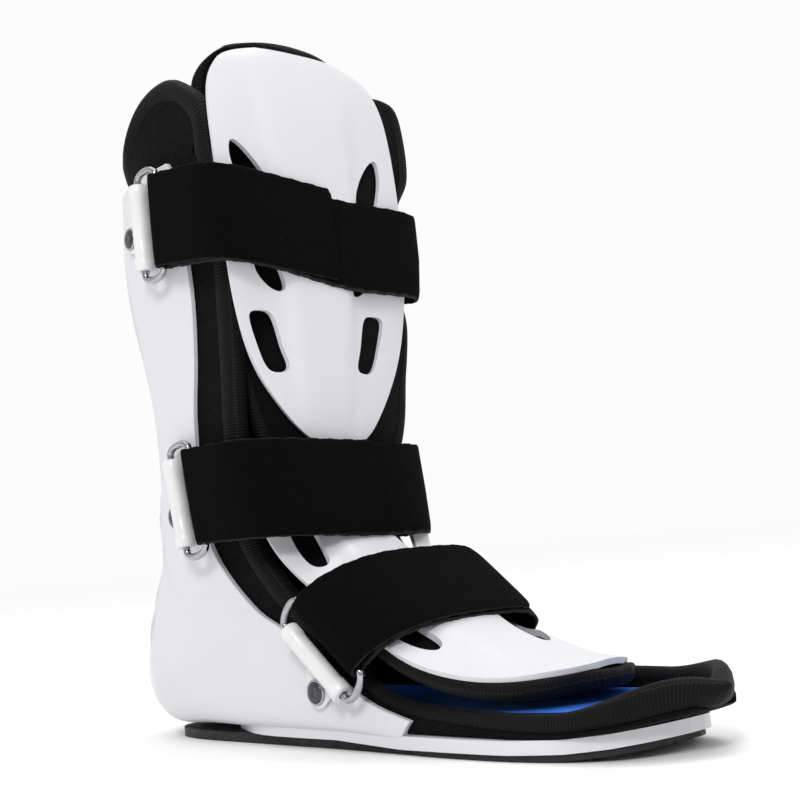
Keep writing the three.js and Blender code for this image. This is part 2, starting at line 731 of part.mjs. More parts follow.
const strapSolid = (strap) => {
  const { along, place } = strapFrame(strap);
  const innerReach = strap.bars - barReach;
  const outerReach = strap.bars + barReach;
  const tabRun = 0.3;
  const path = [];
  // Far end: a sewn tab inside the far bar, the turn round the bar, and the arch to the near bar.
  path.push({ x: innerReach, rise: tabRun * strap.arch }, { x: innerReach, rise: 0 });
  for (let i = 1; i < turnPoints; i += 1) {
    const turn = (i / turnPoints) * Math.PI;
    path.push({ x: strap.bars - barReach * Math.cos(turn), rise: -barReach * Math.sin(turn) });
  }
  path.push({ x: outerReach, rise: 0 });
  const under = archPath(strap, innerReach, 0, 0.93, -0.93, archPoints * 2);
  under.forEach((p) => {
    if (p.x > 0) {
      const flare = clamp((p.x / innerReach) ** 8, 0, 1);
      path.push({ x: p.x + flare * 2 * barReach, rise: p.rise });
    } else {
      path.push(p);
    }
  });
  // Near bar, and the upper layer back over the first.
  path.push({ x: -innerReach, rise: 0 });
  for (let i = 1; i < turnPoints; i += 1) {
    const turn = (i / turnPoints) * Math.PI;
    path.push({ x: -strap.bars + barReach * Math.cos(turn), rise: -barReach * Math.sin(turn) });
  }
  path.push({ x: -outerReach, rise: 0 });
  const over = archPath(strap, innerReach + layerStep, layerStep, -0.93, strap.end, archPoints);
  over.forEach((p) => {
    const flare = p.x < 0 ? clamp((Math.abs(p.x) / (innerReach + layerStep)) ** 8, 0, 1) : 0;
    path.push({ x: p.x - flare * (2 * barReach - layerStep), rise: p.rise });
  });
  const rowsOut = [];
  const rowsIn = [];
  path.forEach((p, i) => {
    const before = path[Math.max(i - 1, 0)];
    const after = path[Math.min(i + 1, path.length - 1)];
    const dx = after.x - before.x;
    const dr = after.rise - before.rise;
    const size = Math.hypot(dx, dr);
    const nx = -dr / size;
    const nr = dx / size;
    for (const [rows, side] of [[rowsOut, 1], [rowsIn, -1]]) {
      const x = p.x + side * nx * strapThick * 0.5;
      const rise = p.rise + side * nr * strapThick * 0.5;
      const centre = place(x, rise);
      rows.push([
        centre.clone().addScaledVector(along, -strapWide / 2),
        centre.clone().addScaledVector(along, strapWide / 2),
      ]);
    }
  });
  return wallBetween(rowsOut, rowsIn);
};

// Wire ring: a rounded rectangle whose front bar carries the strap and whose rear bar lies
// in the keeper's bore.
const ringSides = 5;
const cornerSteps = 3;
const endRise = 3.6;
const ringSolid = (strap, side) => {
  const { along, out, place } = strapFrame(strap);
  const centre = place(side * strap.bars, -ringSpan / 2);
  const bend = ringSpan / 2 - 0.5;
  const sections = [];
  for (let q = 0; q < 4; q += 1) {
    const sx = q === 0 || q === 3 ? 1 : -1;
    const sy = q < 2 ? 1 : -1;
    for (let k = 0; k <= cornerSteps; k += 1) {
      const turn = (q + k / cornerSteps) * Math.PI * 0.5;
      const a = sx * (ringSpan / 2 - bend) + bend * Math.cos(turn);
      const b = sy * (ringLength / 2 - endRise) + endRise * Math.sin(turn);
      const radial = out.clone().multiplyScalar(Math.cos(turn))
        .addScaledVector(along, Math.sin(turn));
      const middle = centre.clone().addScaledVector(out, a).addScaledVector(along, b);
      const points = [];
      for (let s = 0; s < ringSides; s += 1) {
        const angle = (s / ringSides) * Math.PI * 2;
        points.push(middle.clone()
          .addScaledVector(radial, wireRadius * Math.cos(angle))
          .setX(middle.x + wireRadius * Math.sin(angle)));
      }
      sections.push(points);
    }
  }
  return sweep(sections, true);
};

// Half width of the rear shell where a line across the boot at this y and z meets its side.
const shellGeometry = rearShell();
const shellMesh = new THREE.Mesh(shellGeometry, new THREE.MeshBasicMaterial({ side: THREE.DoubleSide }));
const sideAt = (y, z) => {
  const caster = new THREE.Raycaster(new THREE.Vector3(calfHalf * 2, y, z), new THREE.Vector3(-1, 0, 0));
  const hits = caster.intersectObject(shellMesh);
  return hits.length ? hits[0].point.x : 0;
};

// Keeper: a sleeve round the ring's rear bar, with a collar at each end and a tab that is
// riveted to the shell's side.
const keeperSides = 8;
const tabMargin = 1.6;
const tabRoot = 0.33;
const tabSlack = 0.15;
const collarLength = 6;
const collarRise = 0.35;
const boreRadius = wireRadius + gap;
const keeperGeometry = () => {
  const end = keeperLength / 2;
  const wide = keeperRadius;
  const slim = keeperRadius - collarRise;
  const profile = [
    [boreRadius, -end], [wide, -end], [wide, collarLength - end], [slim, collarLength - end + 0.3],
    [slim, end - collarLength - 0.3], [wide, end - collarLength], [wide, end],
    [boreRadius, end], [boreRadius, -end],
  ].map(([r, h]) => new THREE.Vector2(r, h));
  return new THREE.LatheGeometry(profile, keeperSides);
};

const tabOutline = (length) => {
  const shape = new THREE.Shape();
  const root = keeperLength * tabRoot;
  const tip = rivetRadius + tabMargin;
  shape.moveTo(0, -root);
  shape.lineTo(length - tip * 0.6, -tip);
  shape.quadraticCurveTo(length + tip, -tip * 0.8, length + tip, 0);
  shape.quadraticCurveTo(length + tip, tip * 0.8, length - tip * 0.6, tip);
  shape.lineTo(0, root);
  shape.closePath();
  return shape;
};

const hardware = (strap, side) => {
  const { along, out, place } = strapFrame(strap);
  const axis = place(side * strap.bars, -ringSpan);
  const seat = strap.bars - keeperRadius;
  const run = strap.rivetBack;
  const tip = rivetRadius + tabMargin;
  // The steepest fall towards the shell that still clears it all over the tab.
  let fall = Infinity;
  for (const back of [0.35, 0.6, 0.8, 1, 1 + tip / run]) {
    for (const up of [-1, -0.5, 0, 0.5, 1]) {
      const spread = lerp(keeperLength * tabRoot, tip, Math.min(back, 1)) * up;
      const spot = place(side * strap.bars, -ringSpan - back * run, strap.rivetUp * back + spread);
      fall = Math.min(fall, (seat - sideAt(spot.y, spot.z) - gap - tabSlack) / (back * run));
    }
  }
  const dip = fall * run;
  const away = out.clone().multiplyScalar(-run).setX(-side * dip).normalize();
  const face = new THREE.Vector3().crossVectors(away, along).normalize();
  if (face.x * side < 0) face.negate();
  const length = Math.hypot(run, dip);
  const turned = new THREE.Matrix4().makeBasis(along.clone().cross(new THREE.Vector3(side, 0, 0)), along,
    new THREE.Vector3(side, 0, 0).negate());
  const sleeve = keeperGeometry().applyMatrix4(turned).translate(axis.x, axis.y, axis.z);
  const bore = new THREE.CylinderGeometry(boreRadius, boreRadius, keeperLength * 2, keeperSides);
  bore.applyMatrix4(turned).translate(axis.x, axis.y, axis.z);
  const tab = new THREE.ExtrudeGeometry(tabOutline(length), {
    depth: tabThick, bevelEnabled: false, curveSegments: 2,
  });
  const basis = new THREE.Matrix4().makeBasis(away, along, away.clone().cross(along));
  const under = away.clone().cross(along);
  const start = axis.clone().setX(side * seat);
  if (under.x * side < 0) start.addScaledVector(under, -tabThick);
  start.addScaledVector(along, strap.rivetUp * 0.5);
  tab.applyMatrix4(basis).translate(start.x, start.y, start.z);
  const solid = toSolid(outwards(indexed(sleeve))).add(toSolid(outwards(indexed(tab))))
    .subtract(toSolid(outwards(indexed(bore))));
  const rivetPlace = start.clone().addScaledVector(away, length)
    .addScaledVector(along, strap.rivetUp * 0.5);
  const outer = under.x * side < 0 ? 0 : tabThick;
  rivetPlace.addScaledVector(under, outer);
  return { keeper: fromSolid(solid), rivetPlace, face };
};

const indexed = (geometry) => {
  const bare = geometry.clone();
  bare.deleteAttribute('normal');
  bare.deleteAttribute('uv');
  return mergeVertices(bare, 1e-4);
};

const rivetSides = 8;
const rivetGeometry = ({ rivetPlace, face }) => {
  const profile = [
    [0, 0], [rivetRadius, 0], [rivetRadius, rivetRise * 0.35], [rivetRadius * 0.8, rivetRise * 0.8],
    [0, rivetRise],
  ].map(([r, h]) => new THREE.Vector2(r, h));
  const dome = indexed(new THREE.LatheGeometry(profile, rivetSides));
  const turn = new THREE.Quaternion().setFromUnitVectors(new THREE.Vector3(0, 1, 0), face);
  const seat = rivetPlace.clone().addScaledVector(face, gap);
  return outwards(dome.applyQuaternion(turn).translate(seat.x, seat.y, seat.z));
};

const brace = new THREE.Group();
const add = (name, geometry, look) => {
  const mesh = new THREE.Mesh(geometry, look);
  mesh.name = name;
  brace.add(mesh);
};

add('rear_shell', shellGeometry, shellWhite);
add('outsole', outsole(), rubberBlack);
add('boot_liner', wallBetween(linerOuter, linerInner), foamBlack);
add('liner_binding', binding(), bindingBlack);
add('insole', insole(), foamBlue);
add('tongue', tongue(), foamBlack);
add('shin_shell', frontShell(shieldRows, shieldHalf, shieldVents, askew), shellWhite);
add('instep_shell', frontShell(lipRows, lipHalf, lipSlots), shellWhite);
for (const strap of strapTable) {
  add(`strap_${strap.name}`, strapSolid(strap), strapBlack);
  for (const [word, side] of [['near', -1], ['far', 1]]) {
    const held = hardware(strap, side);
    add(`ring_${strap.name}_${word}`, ringSolid(strap, side), chrome);
    add(`keeper_${strap.name}_${word}`, held.keeper, keeperWhite);
    add(`rivet_${strap.name}_${word}`, rivetGeometry(held), gunmetal);
  }
}

// The origin is the middle of the base.
const span = new THREE.Box3().setFromObject(brace);
brace.position.y = -(span.min.y + span.max.y) / 2;
brace.updateMatrixWorld(true);

export default brace;
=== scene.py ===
"""Foot drop brace: the detailed pieces, materials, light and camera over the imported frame.

Tables and sizes are in millimetres, or in shares of the named sizes, with the ankle at y = 0,
toes towards -Y and the near side at -X, as the solids were drawn. to_metres() turns a point
into the frame's metres.
"""
from math import copysign, cos, exp, hypot, pi, radians, sin, sqrt, tau
from types import SimpleNamespace as Row

import bmesh
import bpy
from mathutils import Matrix, Vector


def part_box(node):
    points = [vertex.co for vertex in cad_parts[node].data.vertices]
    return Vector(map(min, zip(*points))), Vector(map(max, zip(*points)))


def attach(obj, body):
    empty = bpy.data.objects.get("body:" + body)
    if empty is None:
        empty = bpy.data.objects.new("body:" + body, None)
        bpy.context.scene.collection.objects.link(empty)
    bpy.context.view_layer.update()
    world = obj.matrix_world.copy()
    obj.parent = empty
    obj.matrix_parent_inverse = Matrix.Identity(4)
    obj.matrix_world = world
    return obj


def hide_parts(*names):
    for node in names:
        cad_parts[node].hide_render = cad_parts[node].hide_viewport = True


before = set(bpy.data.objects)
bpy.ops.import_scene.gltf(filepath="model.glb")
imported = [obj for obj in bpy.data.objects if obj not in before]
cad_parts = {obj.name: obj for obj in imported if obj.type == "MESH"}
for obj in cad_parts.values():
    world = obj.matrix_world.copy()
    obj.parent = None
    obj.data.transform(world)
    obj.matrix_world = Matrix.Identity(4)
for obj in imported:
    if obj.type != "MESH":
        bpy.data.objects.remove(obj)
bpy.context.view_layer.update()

# Sizes of the solids
WING_HEIGHT = 281
HEEL_REACH = 89
PLATE_REACH = 233
CALF_HALF = 62
SOLE_HALF = 45
SHELL_WALL = 3
PLATE_THICK = 5.5
HEEL_RUBBER = 4.6
FORE_RUBBER = 2.4
TOE_SPRING = 5
LINER_HEIGHT = 326
LINER_REACH = 249
PAD_THICK = 8
PAD_FLOOR = 3.2
BINDING_WIDE = 11
BINDING_THICK = 10
INSOLE_THICK = 4
TONGUE_HEIGHT = 347
TONGUE_HALF = 48
TONGUE_THICK = 8
SHIELD_HALF = 61
LIP_HALF = 50
FRONT_WALL = 2.5
STRAP_WIDE = 46
STRAP_THICK = 2.2
WIRE_RADIUS = 1.8
RING_SPAN = 15
RING_LENGTH = 54.5
KEEPER_RADIUS = 4.9
KEEPER_LENGTH = 43
TAB_THICK = 1.6
RIVET_RADIUS = 5.6
RIVET_RISE = 1.6
GAP = 0.35
SOLE_TOP = HEEL_RUBBER + GAP
REARMOST = 0.995

# How far the solids were moved along Y to centre them on their base.
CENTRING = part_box("rear_shell")[1][1] * 1000 - REARMOST * HEEL_REACH


def to_metres(point):
    return Vector((point[0], point[1] + CENTRING, point[2])) / 1000


def table(names, rows):
    """Rows of numbers as records with named columns."""
    return [Row(**dict(zip(names.split(), row))) for row in rows]


def lerp(a, b, t):
    return a + (b - a) * t


def clamp(value, low=0.0, high=1.0):
    return max(low, min(high, value))


def ease(low, high, value):
    t = clamp((value - low) / (high - low))
    return t * t * (3 - 2 * t)


def bell(distance, width):
    return exp(-(distance / width) ** 2)


def catmull(a, b, c, d, t):
    return 0.5 * (2 * b + (c - a) * t + (2 * a - 5 * b + 4 * c - d) * t ** 2
                  + (3 * b - a - 3 * c + d) * t ** 3)


def smooth(rows, per):
    """A table with `per` steps between its rows, on a curve through every column."""
    result = []
    for i in range(len(rows) - 1):
        near = [rows[max(i - 1, 0)], rows[i], rows[i + 1], rows[min(i + 2, len(rows) - 1)]]
        for k in range(per):
            result.append(Row(**{column: catmull(*(vars(row)[column] for row in near), k / per)
                                 for column in vars(rows[0])}))
    return result + rows[-1:]


def column_at(rows, key, column, at):
    """A column of a table at a place, by straight lines between its rows."""
    stops = [(vars(row)[key], vars(row)[column]) for row in rows]
    if at <= stops[0][0]:
        return stops[0][1]
    for (a, first), (b, second) in zip(stops, stops[1:]):
        if at <= b:
            return lerp(first, second, (at - a) / (b - a))
    return stops[-1][1]


# Mesh making

def run_lengths(points, closed):
    """Distance along a line of points, from its first one, with one more entry if it closes."""
    lengths = [0.0]
    for a, b in zip(points, points[1:] + (points[:1] if closed else [])):
        lengths.append(lengths[-1] + (b - a).length)
    return lengths


def add(name, data):
    """A new object in the scene."""
    made = bpy.data.objects.new(name, data)
    bpy.context.scene.collection.objects.link(made)
    return made


def finish_mesh(name, verts, faces, uvs, look, sharp=None):
    mesh = bpy.data.meshes.new(name)
    mesh.from_pydata([to_metres(v) for v in verts], [], faces)
    layer = mesh.uv_layers.new(name="millimetres")
    flat = [corner for face in uvs for corner in face]
    for loop, corner in zip(layer.data, flat):
        loop.uv = corner
    solid = bmesh.new()
    solid.from_mesh(mesh)
    bmesh.ops.recalc_face_normals(solid, faces=solid.faces)
    solid.to_mesh(mesh)
    solid.free()
    mesh.shade_smooth()
    if sharp:
        mesh.set_sharp_from_angle(angle=radians(sharp))
    mesh.materials.append(look)
    return add(name, mesh)


def loft(name, rings, look, closed=False, sharp=None):
    """A skin over a list of equal rings. The first half of each ring lies over its second half,
    so the ends close in strips. UVs are millimetres: across the ring, then along the rings."""
    count = len(rings)
    size = len(rings[0])
    verts = [point for ring in rings for point in ring]
    across = []
    for ring in rings:
        lengths = run_lengths(ring, True)
        middle = lengths[size // 4]
        across.append([length - middle for length in lengths])
    down = run_lengths([ring[size // 4] for ring in rings], closed)
    faces = []
    uvs = []
    for i in range(count if closed else count - 1):
        n = (i + 1) % count
        for k in range(size):
            m = (k + 1) % size
            faces.append((i * size + k, n * size + k, n * size + m, i * size + m))
            uvs.append(((across[i][k], down[i]), (across[n][k], down[i + 1]),
                        (across[n][k + 1], down[i + 1]), (across[i][k + 1], down[i])))
    if not closed:
        for i in (0, count - 1):
            for k in range(size // 2 - 1):
                corners = (k, k + 1, size - 2 - k, size - 1 - k)
                faces.append(tuple(i * size + c for c in corners))
                uvs.append(tuple((across[i][size // 2 - 1] + 1 + c % 2, down[i] + c)
                                 for c in corners))
    return finish_mesh(name, verts, faces, uvs, look, sharp)


def wall(name, outer, inner, look, sharp=None):
    """A wall between two matching grids of points."""
    return loft(name, [a + b[::-1] for a, b in zip(outer, inner)], look, sharp=sharp)


def prism(name, front, back, look, sharp=None):
    """A body between two matching outlines."""
    size = len(front)
    verts = front + back
    faces = [tuple(range(size)), tuple(range(2 * size - 1, size - 1, -1))]
    faces += [(k, (k + 1) % size, size + (k + 1) % size, size + k) for k in range(size)]
    uvs = [tuple((verts[c].y, verts[c].z) for c in face) for face in faces]
    return finish_mesh(name, verts, faces, uvs, look, sharp)


def bevel(piece, width, segments=2, angle=32):
    edge = piece.modifiers.new("edge", "BEVEL")
    edge.width = width / 1000
    edge.segments = segments
    edge.limit_method = "ANGLE"
    edge.angle_limit = radians(angle)
    edge.harden_normals = False


def stands_for(piece, node):
    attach(piece, "root")
    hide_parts(node)


# Materials

class Look:
    """A material on the principled shader, with helpers that add and link its nodes."""

    def __init__(self, name, **values):
        self.material = bpy.data.materials.new(name)
        self.material.use_nodes = True
        self.tree = self.material.node_tree
        self.shader = self.tree.nodes["Principled BSDF"]
        self.height = None
        for key, value in values.items():
            self.shader.inputs[key.replace("_", " ")].default_value = value

    def node(self, kind, sockets=None, **settings):
        made = self.tree.nodes.new("ShaderNode" + kind)
        for key, value in (sockets or {}).items():
            made.inputs[key].default_value = value
        for key, value in settings.items():
            setattr(made, key, value)
        return made

    def link(self, source, target):
        self.tree.links.new(source, target)

    def math(self, operation, a, b=0.0, c=0.0):
        made = self.node("Math", operation=operation)
        for socket, value in zip(made.inputs, (a, b, c)):
            if isinstance(value, (int, float)):
                socket.default_value = value
            else:
                self.link(value, socket)
        return made.outputs[0]

    def place(self):
        return self.node("TexCoord").outputs["Object"]

    def parts(self, output):
        """X, Y and Z of a texture coordinate."""
        split = self.node("SeparateXYZ")
        self.link(self.node("TexCoord").outputs[output], split.inputs[0])
        return split.outputs

    def noise(self, size_mm, detail=3.0, rough=0.5, stretch=(1, 1, 1)):
        mapping = self.node("Mapping", {"Scale": stretch})
        self.link(self.place(), mapping.inputs[0])
        made = self.node("TexNoise", {"Scale": 1000 / size_mm, "Detail": detail, "Roughness": rough})
        self.link(mapping.outputs[0], made.inputs["Vector"])
        return made.outputs["Fac"]

    def spots(self, size_mm, radius):
        """1 in small spots scattered about size_mm apart, 0 elsewhere."""
        made = self.node("TexVoronoi", {"Scale": 1000 / size_mm})
        self.link(self.place(), made.inputs["Vector"])
        return self.math("LESS_THAN", made.outputs["Distance"], radius)

    def range(self, value, low, high, to_low, to_high):
        made = self.node("MapRange", {"From Min": low, "From Max": high, "To Min": to_low,
                                      "To Max": to_high}, interpolation_type="SMOOTHSTEP")
        self.link(value, made.inputs["Value"])
        return made.outputs["Result"]

    def colour(self, first, second, factor):
        """Paints the base colour from first to second by factor."""
        mixed = self.node("Mix", data_type="RGBA")
        sockets = [s for s in mixed.inputs if s.type == "RGBA"]
        if self.shader.inputs["Base Color"].is_linked:
            self.link(self.shader.inputs["Base Color"].links[0].from_socket, sockets[0])
        else:
            sockets[0].default_value = (*first, 1)
        sockets[1].default_value = (*second, 1)
        self.link(factor, mixed.inputs[0])
        self.link([s for s in mixed.outputs if s.type == "RGBA"][0],
                  self.shader.inputs["Base Color"])

    def bump(self, height, depth_mm, strength=1.0):
        """Adds a relief of depth_mm to the surface."""
        made = self.node("Bump", {"Strength": strength, "Distance": depth_mm / 1000})
        self.link(height, made.inputs["Height"])
        if self.height:
            self.link(self.height, made.inputs["Normal"])
        self.height = made.outputs["Normal"]
        self.link(self.height, self.shader.inputs["Normal"])

    def rough(self, value, low, high):
        self.link(self.range(value, 0.3, 0.7, low, high), self.shader.inputs["Roughness"])


def shell_look():
    look = Look("shell_white", Roughness=0.32)
    look.colour((0.635, 0.632, 0.662), (0.675, 0.673, 0.697), look.noise(70, 2))
    look.rough(look.noise(20, 1), 0.28, 0.36)
    look.bump(look.noise(30, 2), 0.25, 0.3)
    return look.material


def keeper_look():
    look = Look("keeper_white", Subsurface_Weight=0.05, Subsurface_Scale=0.002, Roughness=0.34,
                Coat_Weight=0.12, Coat_Roughness=0.2)
    look.colour((0.68, 0.68, 0.69), (0.74, 0.74, 0.745), look.noise(5, 3, stretch=(1, 1, 0.3)))
    look.bump(look.noise(2.2, 3, stretch=(1, 1, 0.25)), 0.06, 0.4)
    return look.material


def knit(look, size_mm=0.9, depth=0.18):
    """Fine knitted face of the black foam fabric."""
    look.bump(look.noise(size_mm, 4, 0.65), depth, 0.55)
    look.bump(look.noise(14, 2), 0.6, 0.4)


def foam_look(name, pitch, row, hole):
    """Black foam fabric with pinholes in staggered rows."""
    look = Look(name, Roughness=0.9, Sheen_Weight=0.022, Sheen_Roughness=0.5,
                Sheen_Tint=(0.5, 0.5, 0.58, 1), Specular_IOR_Level=0.07)
    look.colour((0.0022, 0.0022, 0.0027), (0.005, 0.005, 0.006), look.noise(3, 5))
    across, along = (look.math("MULTIPLY", place, 1000) for place in look.parts("Object")[1:])
    lane = look.math("DIVIDE", along, row)
    shift = look.math("MULTIPLY", look.math("FLOOR", lane), 0.5)
    slot = look.math("FRACT", look.math("ADD", look.math("DIVIDE", across, pitch), shift))
    dx = look.math("MULTIPLY", look.math("SUBTRACT", slot, 0.5), pitch)
    dy = look.math("MULTIPLY", look.math("SUBTRACT", look.math("FRACT", lane), 0.5), row)
    far = look.math("SQRT", look.math("ADD", look.math("MULTIPLY", dx, dx),
                                      look.math("MULTIPLY", dy, dy)))
    face = look.range(far, hole * 0.6, hole * 1.25, 0.0, 1.0)
    look.colour(None, (0.001, 0.001, 0.001), look.math("SUBTRACT", 1.0, face))
    knit(look)
    look.bump(face, 0.9, 0.9)
    return look.material


def binding_look(name, rib, seam):
    """Ribbed edge tape with a zigzag seam on each side of its crest."""
    look = Look(name, Roughness=0.6, Sheen_Weight=0.025, Sheen_Roughness=0.5,
                Sheen_Tint=(0.55, 0.55, 0.6, 1), Specular_IOR_Level=0.1)
    across, along, _ = look.parts("UV")
    # Painted shade and light: the tape is painted darker in the grooves between its ribs and lighter
    # on their crests, following the ribs' relief.
    turns = look.math("MULTIPLY", along, 2 * pi / rib)
    rib_relief_and_shade = look.math("MULTIPLY_ADD", look.math("SINE", turns), 0.5, 0.5)
    look.colour((0.0015, 0.0015, 0.0018), (0.0052, 0.0052, 0.0058), rib_relief_and_shade)
    zig = look.math("MULTIPLY", look.math("PINGPONG", along, 2.0), 0.3)
    off = look.math("SUBTRACT", look.math("ABSOLUTE", across), seam)
    near = look.math("ABSOLUTE", look.math("SUBTRACT", off, zig))
    thread = look.range(near, 0.25, 0.55, 1.0, 0.0)
    look.colour(None, (0.009, 0.009, 0.01), thread)
    look.bump(rib_relief_and_shade, 0.28, 0.8)
    look.bump(thread, 0.3, 0.7)
    knit(look, 0.6, 0.1)
    return look.material


def strap_look():
    look = Look("strap_black", Roughness=0.97, Sheen_Weight=0.012, Sheen_Roughness=0.4,
                Sheen_Tint=(0.5, 0.5, 0.52, 1), Specular_IOR_Level=0.03)
    look.colour((0.0007, 0.0007, 0.0008), (0.0056, 0.0056, 0.006), look.noise(1.6, 6, 0.75))
    across = look.parts("UV")[0]
    edge = (STRAP_WIDE + STRAP_THICK) / 2
    # Painted highlight: the strap's long edges and side faces are painted lighter, in a mottled
    # line, for the light that their fuzz catches.
    rim = look.range(look.math("PINGPONG", look.math("ADD", across, edge), edge), 0.4, 2.0, 1, 0)
    look.colour(None, (0.06, 0.06, 0.064), look.math("MULTIPLY", rim, look.noise(0.9, 4, 0.7)))
    look.colour(None, (0.16, 0.16, 0.17), look.spots(11, 0.012))
    look.bump(look.noise(0.9, 5, 0.75), 0.9, 0.9)
    look.bump(look.noise(9, 3), 1.4, 0.6)
    return look.material


def insole_look():
    look = Look("foam_blue", Roughness=0.95, Sheen_Weight=0.12, Sheen_Roughness=0.5,
                Sheen_Tint=(0.25, 0.45, 1, 1), Specular_IOR_Level=0.1)
    look.colour((0.02, 0.12, 0.55), (0.032, 0.17, 0.75), look.noise(2.4, 6, 0.7))
    look.colour(None, (0.12, 0.25, 0.6), look.spots(3.2, 0.1))
    look.bump(look.noise(0.7, 5, 0.7), 0.35, 0.8)
    return look.material


def rubber_look():
    look = Look("rubber_black", Roughness=0.6, Specular_IOR_Level=0.3)
    look.colour((0.01, 0.01, 0.011), (0.022, 0.022, 0.024), look.noise(5, 4))
    look.rough(look.noise(3, 4), 0.5, 0.72)
    look.bump(look.noise(0.8, 4, 0.6), 0.2, 0.7)
    return look.material


def chrome_look():
    look = Look("ring_chrome", Metallic=1.0, Roughness=0.1)
    look.colour((0.3, 0.3, 0.315), (0.5, 0.5, 0.52), look.noise(3, 3))
    look.rough(look.noise(1.4, 5), 0.06, 0.16)
    return look.material


def rivet_look():
    look = Look("rivet_metal", Metallic=1.0, Roughness=0.3)
    look.colour((0.05, 0.05, 0.055), (0.12, 0.12, 0.13), look.noise(2, 4))
    look.rough(look.noise(1.2, 4), 0.24, 0.42)
    look.bump(look.noise(1.0, 4), 0.04, 0.5)
    return look.material


SHELL = shell_look()
KEEPER = keeper_look()
FOAM = foam_look("foam_black", 7.5, 6.0, 0.75)
TONGUE_FOAM = foam_look("tongue_black", 9.0, 9.0, 0.5)
BINDING = binding_look("binding_black", 1.5, 5.5)
TONGUE_TAPE = binding_look("tongue_tape", 1.5, 4.0)
STRAP = strap_look()
INSOLE = insole_look()
RUBBER = rubber_look()
CHROME = chrome_look()
RIVET = rivet_look()

# The boot's trough. Each station is a U in a plane that holds the X axis: `back` and `low`
# place its middle, `front` and `high` its rims, `calf` and `sole` mix its half width.
TROUGH = table("back low front high calf sole curve square lip reach pad", [
    (0.72, 0.975, -0.03, 1, 1, 0, 0.88, 2.8, 0.99, 0.12, 1),
    (0.73, 0.96, -0.045, 0.972, 1, 0, 0.88, 2.8, 0.99, 0.127, 1),
    (0.76, 0.915, -0.058, 0.922, 1, 0, 0.88, 2.8, 0.99, 0.129, 1),
    (0.775, 0.84, -0.067, 0.84, 0.99, 0, 0.88, 2.8, 0.99, 0.123, 1),
    (0.73, 0.745, -0.067, 0.745, 0.96, 0, 0.88, 2.8, 0.99, 0.112, 1),
    (0.645, 0.64, -0.047, 0.64, 0.92, 0, 0.88, 2.8, 0.99, 0.116, 1),
    (0.585, 0.55, -0.022, 0.55, 0.89, 0, 0.88, 2.8, 0.99, 0.125, 1),
    (0.58, 0.435, -0.015, 0.435, 0.87, 0, 0.88, 2.8, 0.99, 0.125, 1),
    (0.64, 0.335, -0.02, 0.352, 0.85, 0, 0.88, 2.8, 0.99, 0.12, 1),
    (0.74, 0.253, -0.035, 0.307, 0.82, 0, 0.88, 2.8, 0.99, 0.112, 1),
    (0.88, 0.182, -0.07, 0.264, 0.8, 0, 0.88, 2.9, 0.99, 0.109, 1),
    (0.995, 0.115, -0.117, 0.224, 0.55, 0.33, 0.86, 3, 0.98, 0.101, 1),
    (0.98, 0.06, -0.157, 0.2, 0.3, 0.67, 0.84, 3.2, 0.98, 0.087, 0.9),
    (0.86, 0.022, -0.197, 0.181, 0.15, 0.84, 0.8, 3.6, 0.98, 0.073, 0.7),
    (0.66, 0.004, -0.243, 0.16, 0, 1.04, 0.72, 4, 0.98, 0.062, 0.5),
    (0.3, 0.008, -0.303, 0.128, 0, 1.04, 0.62, 4.6, 0.98, 0.053, 0.4),
    (-0.08, 0.008, -0.374, 0.088, 0, 1.04, 0.6, 5, 0.98, 0.042, 0.4),
    (-0.33, 0.009, -0.445, 0.056, 0, 1.02, 0.62, 6, 0.98, 0.028, 0.4),
    (-0.5, 0.009, -0.53, 0.034, 0, 1, 0.7, 7, 0.98, 0.017, 0.4),
])
TOE = table("at low high sole square", [
    (0.605, 0, 0.46, 0.94, 7),
    (0.741, 0, 0.16, 0.92, 7),
    (0.848, 0.02, 0.12, 0.83, 5),
    (0.912, 0.08, 0.22, 0.66, 3.4),
    (0.951, 0.3, 0.4, 0.47, 2.6),
    (0.975, 0.8, 0.52, 0.28, 2),
])
PLATE = table("at half rise drop thick", [
    (-0.05, 0.6, 0, 0, 0.85),
    (0.1, 0.92, 0, 0, 0.85),
    (0.33, 0.97, 0, 0, 0.9),
    (0.5, 0.99, 0, 1, 1),
    (0.62, 1, 0, 1, 1),
    (0.75, 0.97, 0, 1, 1),
    (0.85, 0.85, 0.12, 1, 1),
    (0.92, 0.68, 0.42, 1, 1),
    (0.965, 0.46, 0.72, 1, 1),
    (0.99, 0.26, 0.92, 1, 1),
    (1, 0.1, 1, 1, 1),
])
ROW_STEPS = 4
CURVE_POINTS = 13
RIM_STEPS = 4


def reach_of(share):
    return share * (HEEL_REACH if share > 0 else PLATE_REACH)


def height_of(share):
    return SOLE_TOP + share * (WING_HEIGHT - SOLE_TOP)


def under_plate(y):
    at = -y / PLATE_REACH
    step = column_at(PLATE, "at", "drop", at) * (HEEL_RUBBER - FORE_RUBBER)
    return SOLE_TOP - step + column_at(PLATE, "at", "rise", at) * TOE_SPRING


def floor_of_liner(y):
    return under_plate(y) + PLATE_THICK + GAP


def u_row(base, rim, half, depth, square, rim_half, extra=0.0, steps=(), far_share=1.0):
    """One U of points from the near rim over the middle to the far rim."""
    length = (rim - base).length
    way = (rim - base) / length
    side = [(rim_half, length + share * extra) for share in reversed(steps)]
    for i in range(RIM_STEPS, 0, -1):
        side.append((lerp(half, rim_half, i / RIM_STEPS), lerp(depth, length, i / RIM_STEPS)))
    for i in range(CURVE_POINTS, 0, -1):
        turn = i / CURVE_POINTS * pi / 2
        side.append((half * sin(turn) ** (2 / square),
                     depth * (1 - max(cos(turn), 0) ** (2 / square))))
    near = [base + way * s + Vector((-x, 0, 0)) for x, s in side]
    far = [base + way * (min(s, length) + max(s - length, 0) * far_share) + Vector((x, 0, 0))
           for x, s in reversed(side)]
    return near + [base.copy()] + far


def middle_of(station):
    y = reach_of(station.back)
    return Vector((0, y, height_of(station.low) - SOLE_TOP + under_plate(y)))


